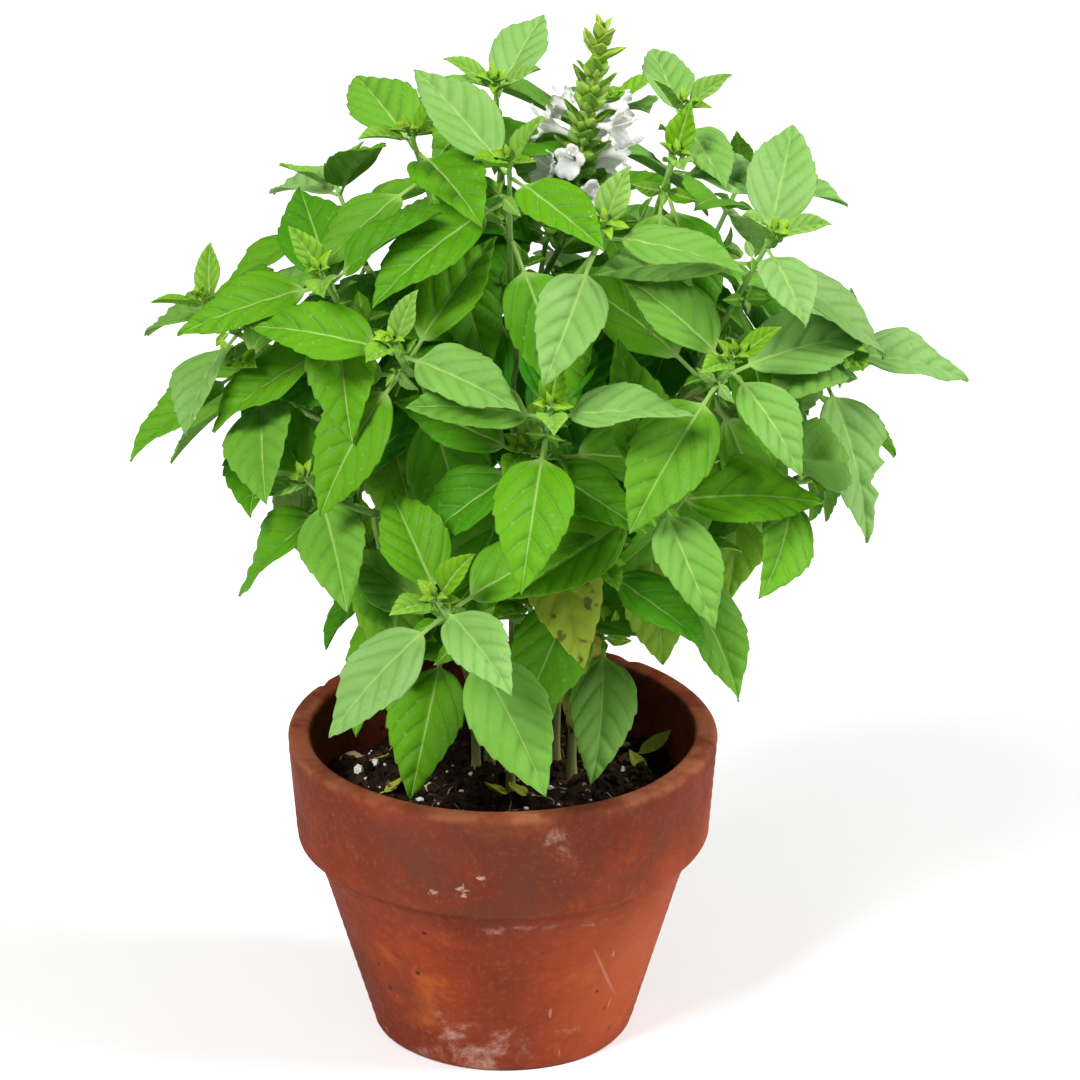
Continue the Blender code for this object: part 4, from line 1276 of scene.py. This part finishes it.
pot = make_piece("clay_pot", pot_body(), terracotta_finish, "terracotta", "pot")
print("pot", [round(v * 1000, 1) for v in pot.dimensions], "mm")

# %% [markdown]
# ## The soil
# The potting mix fills the pot to a finger's width below the lip. Its top is a lumpy
# surface, a sum of many waves in random directions, and on it lie crumbs of soil,
# white grains of perlite, chips of bark and a few yellow bits of fallen leaf. Each
# loose thing is a small many-sided lump pushed out of round.

# %% The lumpy top
waves = np.random.default_rng(5)
WAVE_COUNT = 60
wave_length = np.exp(waves.uniform(np.log(0.0045), np.log(0.050), WAVE_COUNT))
wave_way = waves.uniform(0, 2 * np.pi, WAVE_COUNT)
wave_start = waves.uniform(0, 2 * np.pi, WAVE_COUNT)
SOIL_RADIUS = float(soil_high[0] - soil_low[0]) / 2.0


def soil_top(x, y):
    """Height of the soil: a shallow dome and a sum of waves, longer ones higher."""
    x, y = np.asarray(x)[..., None], np.asarray(y)[..., None]
    phase = 2 * np.pi / wave_length * (x * np.cos(wave_way) + y * np.sin(wave_way)) + wave_start
    lumps = (0.016 * wave_length ** 0.75 * np.cos(phase)).sum(-1) * 0.55
    edge = np.hypot(x, y)[..., 0] / SOIL_RADIUS
    return SOIL_HEIGHT + 0.0006 + 0.0015 * (1 - edge ** 2) + np.clip(lumps, -0.004, 0.004)


def soil_body(around=260):
    """Rings from the middle of the top out to the wall, then down the wall to the floor."""
    turn = 2 * np.pi * np.arange(around) / around
    wall = SOIL_RADIUS - 0.0004
    top_radius = wall * np.linspace(0.01, 1.0, 85) ** 0.8
    top = np.stack([top_radius[:, None] * np.cos(turn), top_radius[:, None] * np.sin(turn)], -1)
    top_z = soil_top(top[..., 0], top[..., 1])
    low_radius = np.array([wall - 0.0010, 0.0655, 0.0575, 0.0385, 0.0300, 0.0100])
    low_height = np.array([0.0880, 0.0770, 0.0600, FLOOR + 0.0035, FLOOR + 0.0006, FLOOR + 0.0006])
    low = np.stack([low_radius[:, None] * np.cos(turn), low_radius[:, None] * np.sin(turn),
                    np.broadcast_to(low_height[:, None], (6, around))], -1)
    return facing_out(skin(np.concatenate([np.concatenate([top, top_z[..., None]], -1), low])))


make_piece("potting_soil", soil_body(), grainy["potting_soil"], "soil", "soil")

# %% Loose things on the soil
def turned(u, v, angle):
    """Rows of two coordinates turned together, each row through its own angle."""
    cos, sin = np.cos(angle)[:, None], np.sin(angle)[:, None]
    return u * cos - v * sin, u * sin + v * cos


def lumps(count, smallest, largest, flat, chance, reach=0.064):
    """Random lumps: a 20-sided ball, each corner pushed in or out, squashed and turned."""
    gold = (1 + 5 ** 0.5) / 2
    ball = np.array([(-1, gold, 0), (1, gold, 0), (-1, -gold, 0), (1, -gold, 0), (0, -1, gold),
                     (0, 1, gold), (0, -1, -gold), (0, 1, -gold), (gold, 0, -1), (gold, 0, 1),
                     (-gold, 0, -1), (-gold, 0, 1)]) / np.hypot(1, gold)
    near = np.linalg.norm(ball[:, None] - ball[None], axis=-1) < 1.1
    corners = [(i, j, k) for i in range(12) for j in range(i + 1, 12) for k in range(j + 1, 12)
               if near[i, j] and near[j, k] and near[i, k]]
    faces = np.array([t if np.linalg.det(ball[list(t)]) > 0 else t[::-1] for t in corners])
    faces = np.concatenate([faces, faces[:, 2:]], 1)
    size = smallest * (largest / smallest) ** (chance.random(count) ** 2.2)
    points = ball[None] * (1 + 0.28 * chance.normal(size=(count, 12, 1)).clip(-1.5, 1.5))
    points = points * size[:, None, None] * (1 + (np.array(flat) - 1) * np.ones((count, 1, 3)))
    a, b = chance.uniform(0, 2 * np.pi, (2, count))
    tilt = chance.normal(0, 0.35, count)
    x, y, z = points[..., 0], points[..., 1], points[..., 2]
    y, z = turned(y, z, tilt)
    x, y = turned(x, y, a)
    radius = (reach - largest) * chance.random(count) ** 0.5
    at_x, at_y = radius * np.cos(b), radius * np.sin(b)
    points = np.stack([x + at_x[:, None], y + at_y[:, None],
                       z + (soil_top(at_x, at_y) + size * flat[2] * 0.35)[:, None]], -1)
    every = (faces[None] + 12 * np.arange(count)[:, None, None]).reshape(-1, 4)
    return {"points": points.reshape(-1, 3), "faces": every}


scatter = np.random.default_rng(11)
make_piece("soil_crumbs", lumps(1700, 0.0006, 0.0034, (1.0, 0.8, 0.7), scatter, 0.0675),
           grainy["soil_crumb"], "soil", smooth=False)
make_piece("perlite", lumps(130, 0.0005, 0.0023, (1.0, 0.9, 0.8), scatter, 0.0665),
           grainy["perlite"], "soil", smooth=False)
make_piece("bark_chips", lumps(110, 0.0012, 0.0060, (1.0, 0.38, 0.22), scatter, 0.0660),
           grainy["bark"], "soil", smooth=False)

# %% Root fibres
fibres = []
for _ in range(46):
    radius, heading, turn = 0.060 * scatter.random() ** 0.5, *scatter.uniform(0, 2 * np.pi, 2)
    reach = scatter.uniform(0.006, 0.020)
    step = np.linspace(-0.5, 0.5, 9)
    bend = turn + scatter.uniform(-1.8, 1.8) * step
    x = radius * np.cos(heading) + np.cumsum(np.cos(bend)) * reach / 9
    y = radius * np.sin(heading) + np.cumsum(np.sin(bend)) * reach / 9
    inside = np.minimum(1.0, 0.065 / np.hypot(x, y))
    x, y = x * inside, y * inside
    line = np.stack([x, y, soil_top(x, y) + 0.0004 + 0.0022 * (0.25 - step ** 2)], -1)
    thick = scatter.uniform(0.00018, 0.00042) * (1.0 - 1.2 * step ** 2)
    fibres.append(facing_out(tube(line, thick[:, None], 5)))
make_piece("root_fibres", joined(fibres), grainy["root_fibre"], "soil")

# %% Leaves that lie on the soil
def lying_leaf(place, tilt, face, shape, stalk, bend, lift, wither=0.0, relief=1.0):
    """A small leaf at (x, y, heading, size), its upper face towards the given direction."""
    x, y, heading, size = place
    way = unit(np.array([np.cos(np.radians(heading)), np.sin(np.radians(heading)), tilt]))
    leaf = dress({"stage": 5.0, "way": way, "face": square_to(face, way), "length": size,
                  "width": size * shape, "stalk": stalk, "bend": bend,
                  "base": np.array([x, y, float(soil_top(x, y)) + lift])}, chance)
    leaf["wither"] = wither
    return leaf_body(leaf, *MEDIUM, relief=relief)


LITTER = ((0.012, -0.0560, 10, 0.016), (0.024, -0.0530, 160, 0.013), (-0.043, -0.0400, 60, 0.010),
          (0.055, -0.022, 80, 0.009), (-0.052, 0.030, 200, 0.013), (0.030, 0.050, 320, 0.012))
FALLEN = ((0.050, 0.024, 20, 0.016), (0.056, 0.012, 140, 0.011), (-0.034, -0.046, 60, 0.010),
          (0.004, -0.012, 200, 0.012), (0.012, -0.014, 170, 0.010), (-0.046, -0.004, 30, 0.009),
          (-0.050, 0.020, 300, 0.013), (0.020, 0.056, 100, 0.012))
litter = [lying_leaf(place, 0.10, (0.2, -0.3, 1.0), 0.50, 0.0015, 1.1, 0.0022, relief=2.0)
          for place in LITTER]
make_piece("dry_litter", joined(litter), grainy["dry_litter"], "soil")
fallen = [lying_leaf(place, 0.12, (0.1, -0.1, 1.0), 0.55, 0.002, -0.9, 0.0012, wither=0.9)
          for place in FALLEN]
make_piece("fallen_leaf_bits", joined(fallen), leaf_finish, "leaf")

# %% [markdown]
# ## Floor, light and camera
# The plant stands on a plain pale floor. A large soft light at the upper left models
# the leaves and lays a faint shadow to the right of the pot, and another at the upper
# right puts a pale sheen on the leaves that face it. The camera is a long way off with
# a long lens, so that near and far leaves keep their true sizes, and looks down by 25
# degrees, so that the soil shows inside the rim.

# %% Floor
FLOOR_RADIUS, FLOOR_SIDES = 1.3, 96
floor_mesh = bpy.data.meshes.new("floor")
floor_turn = 2 * np.pi * np.arange(FLOOR_SIDES) / FLOOR_SIDES
floor_mesh.from_pydata([(FLOOR_RADIUS * np.cos(a), FLOOR_RADIUS * np.sin(a), 0.0) for a in floor_turn],
                       [], [tuple(range(FLOOR_SIDES))])
floor = bpy.data.objects.new("floor", floor_mesh)
bpy.context.scene.collection.objects.link(floor)
paper = Finish("pale_floor")
floor_mesh.materials.append(paper.done((0.86, 0.86, 0.86, 1.0), 0.95))

# %% Lights
PLANT_MIDDLE = Vector((0.0, 0.0, 0.2))
ROOM_LIGHT = 0.26       # how strongly the pale room lights the plant; it is seen at full


def soft_light(name, place, size, power):
    """A square soft light aimed at the middle of the plant."""
    data = bpy.data.lights.new(name, "AREA")
    data.size = size
    data.energy = power
    light = bpy.data.objects.new(name, data)
    light.location = place
    aim = PLANT_MIDDLE - Vector(place)
    light.rotation_euler = aim.to_track_quat("-Z", "Y").to_euler()
    bpy.context.scene.collection.objects.link(light)


soft_light("upper_left", (-2.1, -2.4, 3.4), 1.7, 262.0)
soft_light("upper_right", (2.7, -0.3, 2.6), 1.8, 170.0)
world = bpy.data.worlds.new("pale_room")
world.use_nodes = True
sky = world.node_tree
glow = sky.nodes["Background"]
glow.inputs["Color"].default_value = (1.0, 1.0, 1.0, 1.0)
seen = sky.nodes.new("ShaderNodeLightPath")
dimmed = sky.nodes.new("ShaderNodeMapRange")
dimmed.inputs["To Min"].default_value = ROOM_LIGHT
dimmed.inputs["To Max"].default_value = 1.0
sky.links.new(seen.outputs["Is Camera Ray"], dimmed.inputs["Value"])
sky.links.new(dimmed.outputs["Result"], glow.inputs["Strength"])
bpy.context.scene.world = world
bpy.context.scene.view_settings.view_transform = "Standard"

# %% Camera
DISTANCE = 2.2
LOOK_DOWN = np.radians(25.0)
AIM_RIGHT, AIM_UP = 0.0142, 0.0699      # how far from the middle of the rim it aims
rim_middle = pot_axis + [0.0, 0.0, RIM_HEIGHT]
away = np.array([0.0, -np.cos(LOOK_DOWN), np.sin(LOOK_DOWN)])
upward = np.array([0.0, np.sin(LOOK_DOWN), np.cos(LOOK_DOWN)])
target = rim_middle + np.array([AIM_RIGHT, 0.0, 0.0]) + upward * AIM_UP
lens = bpy.data.cameras.new("camera")
lens.lens = 196.0
lens.sensor_width = 36.0
camera = bpy.data.objects.new("camera", lens)
camera.location = rim_middle + away * DISTANCE
camera.rotation_euler = (Vector(target) - camera.location).to_track_quat("-Z", "Y").to_euler()
bpy.context.scene.collection.objects.link(camera)
bpy.context.scene.camera = camera

# %% Measuring the result
print("pieces", len(pieces_made), "faces", sum(count for _, count in pieces_made))
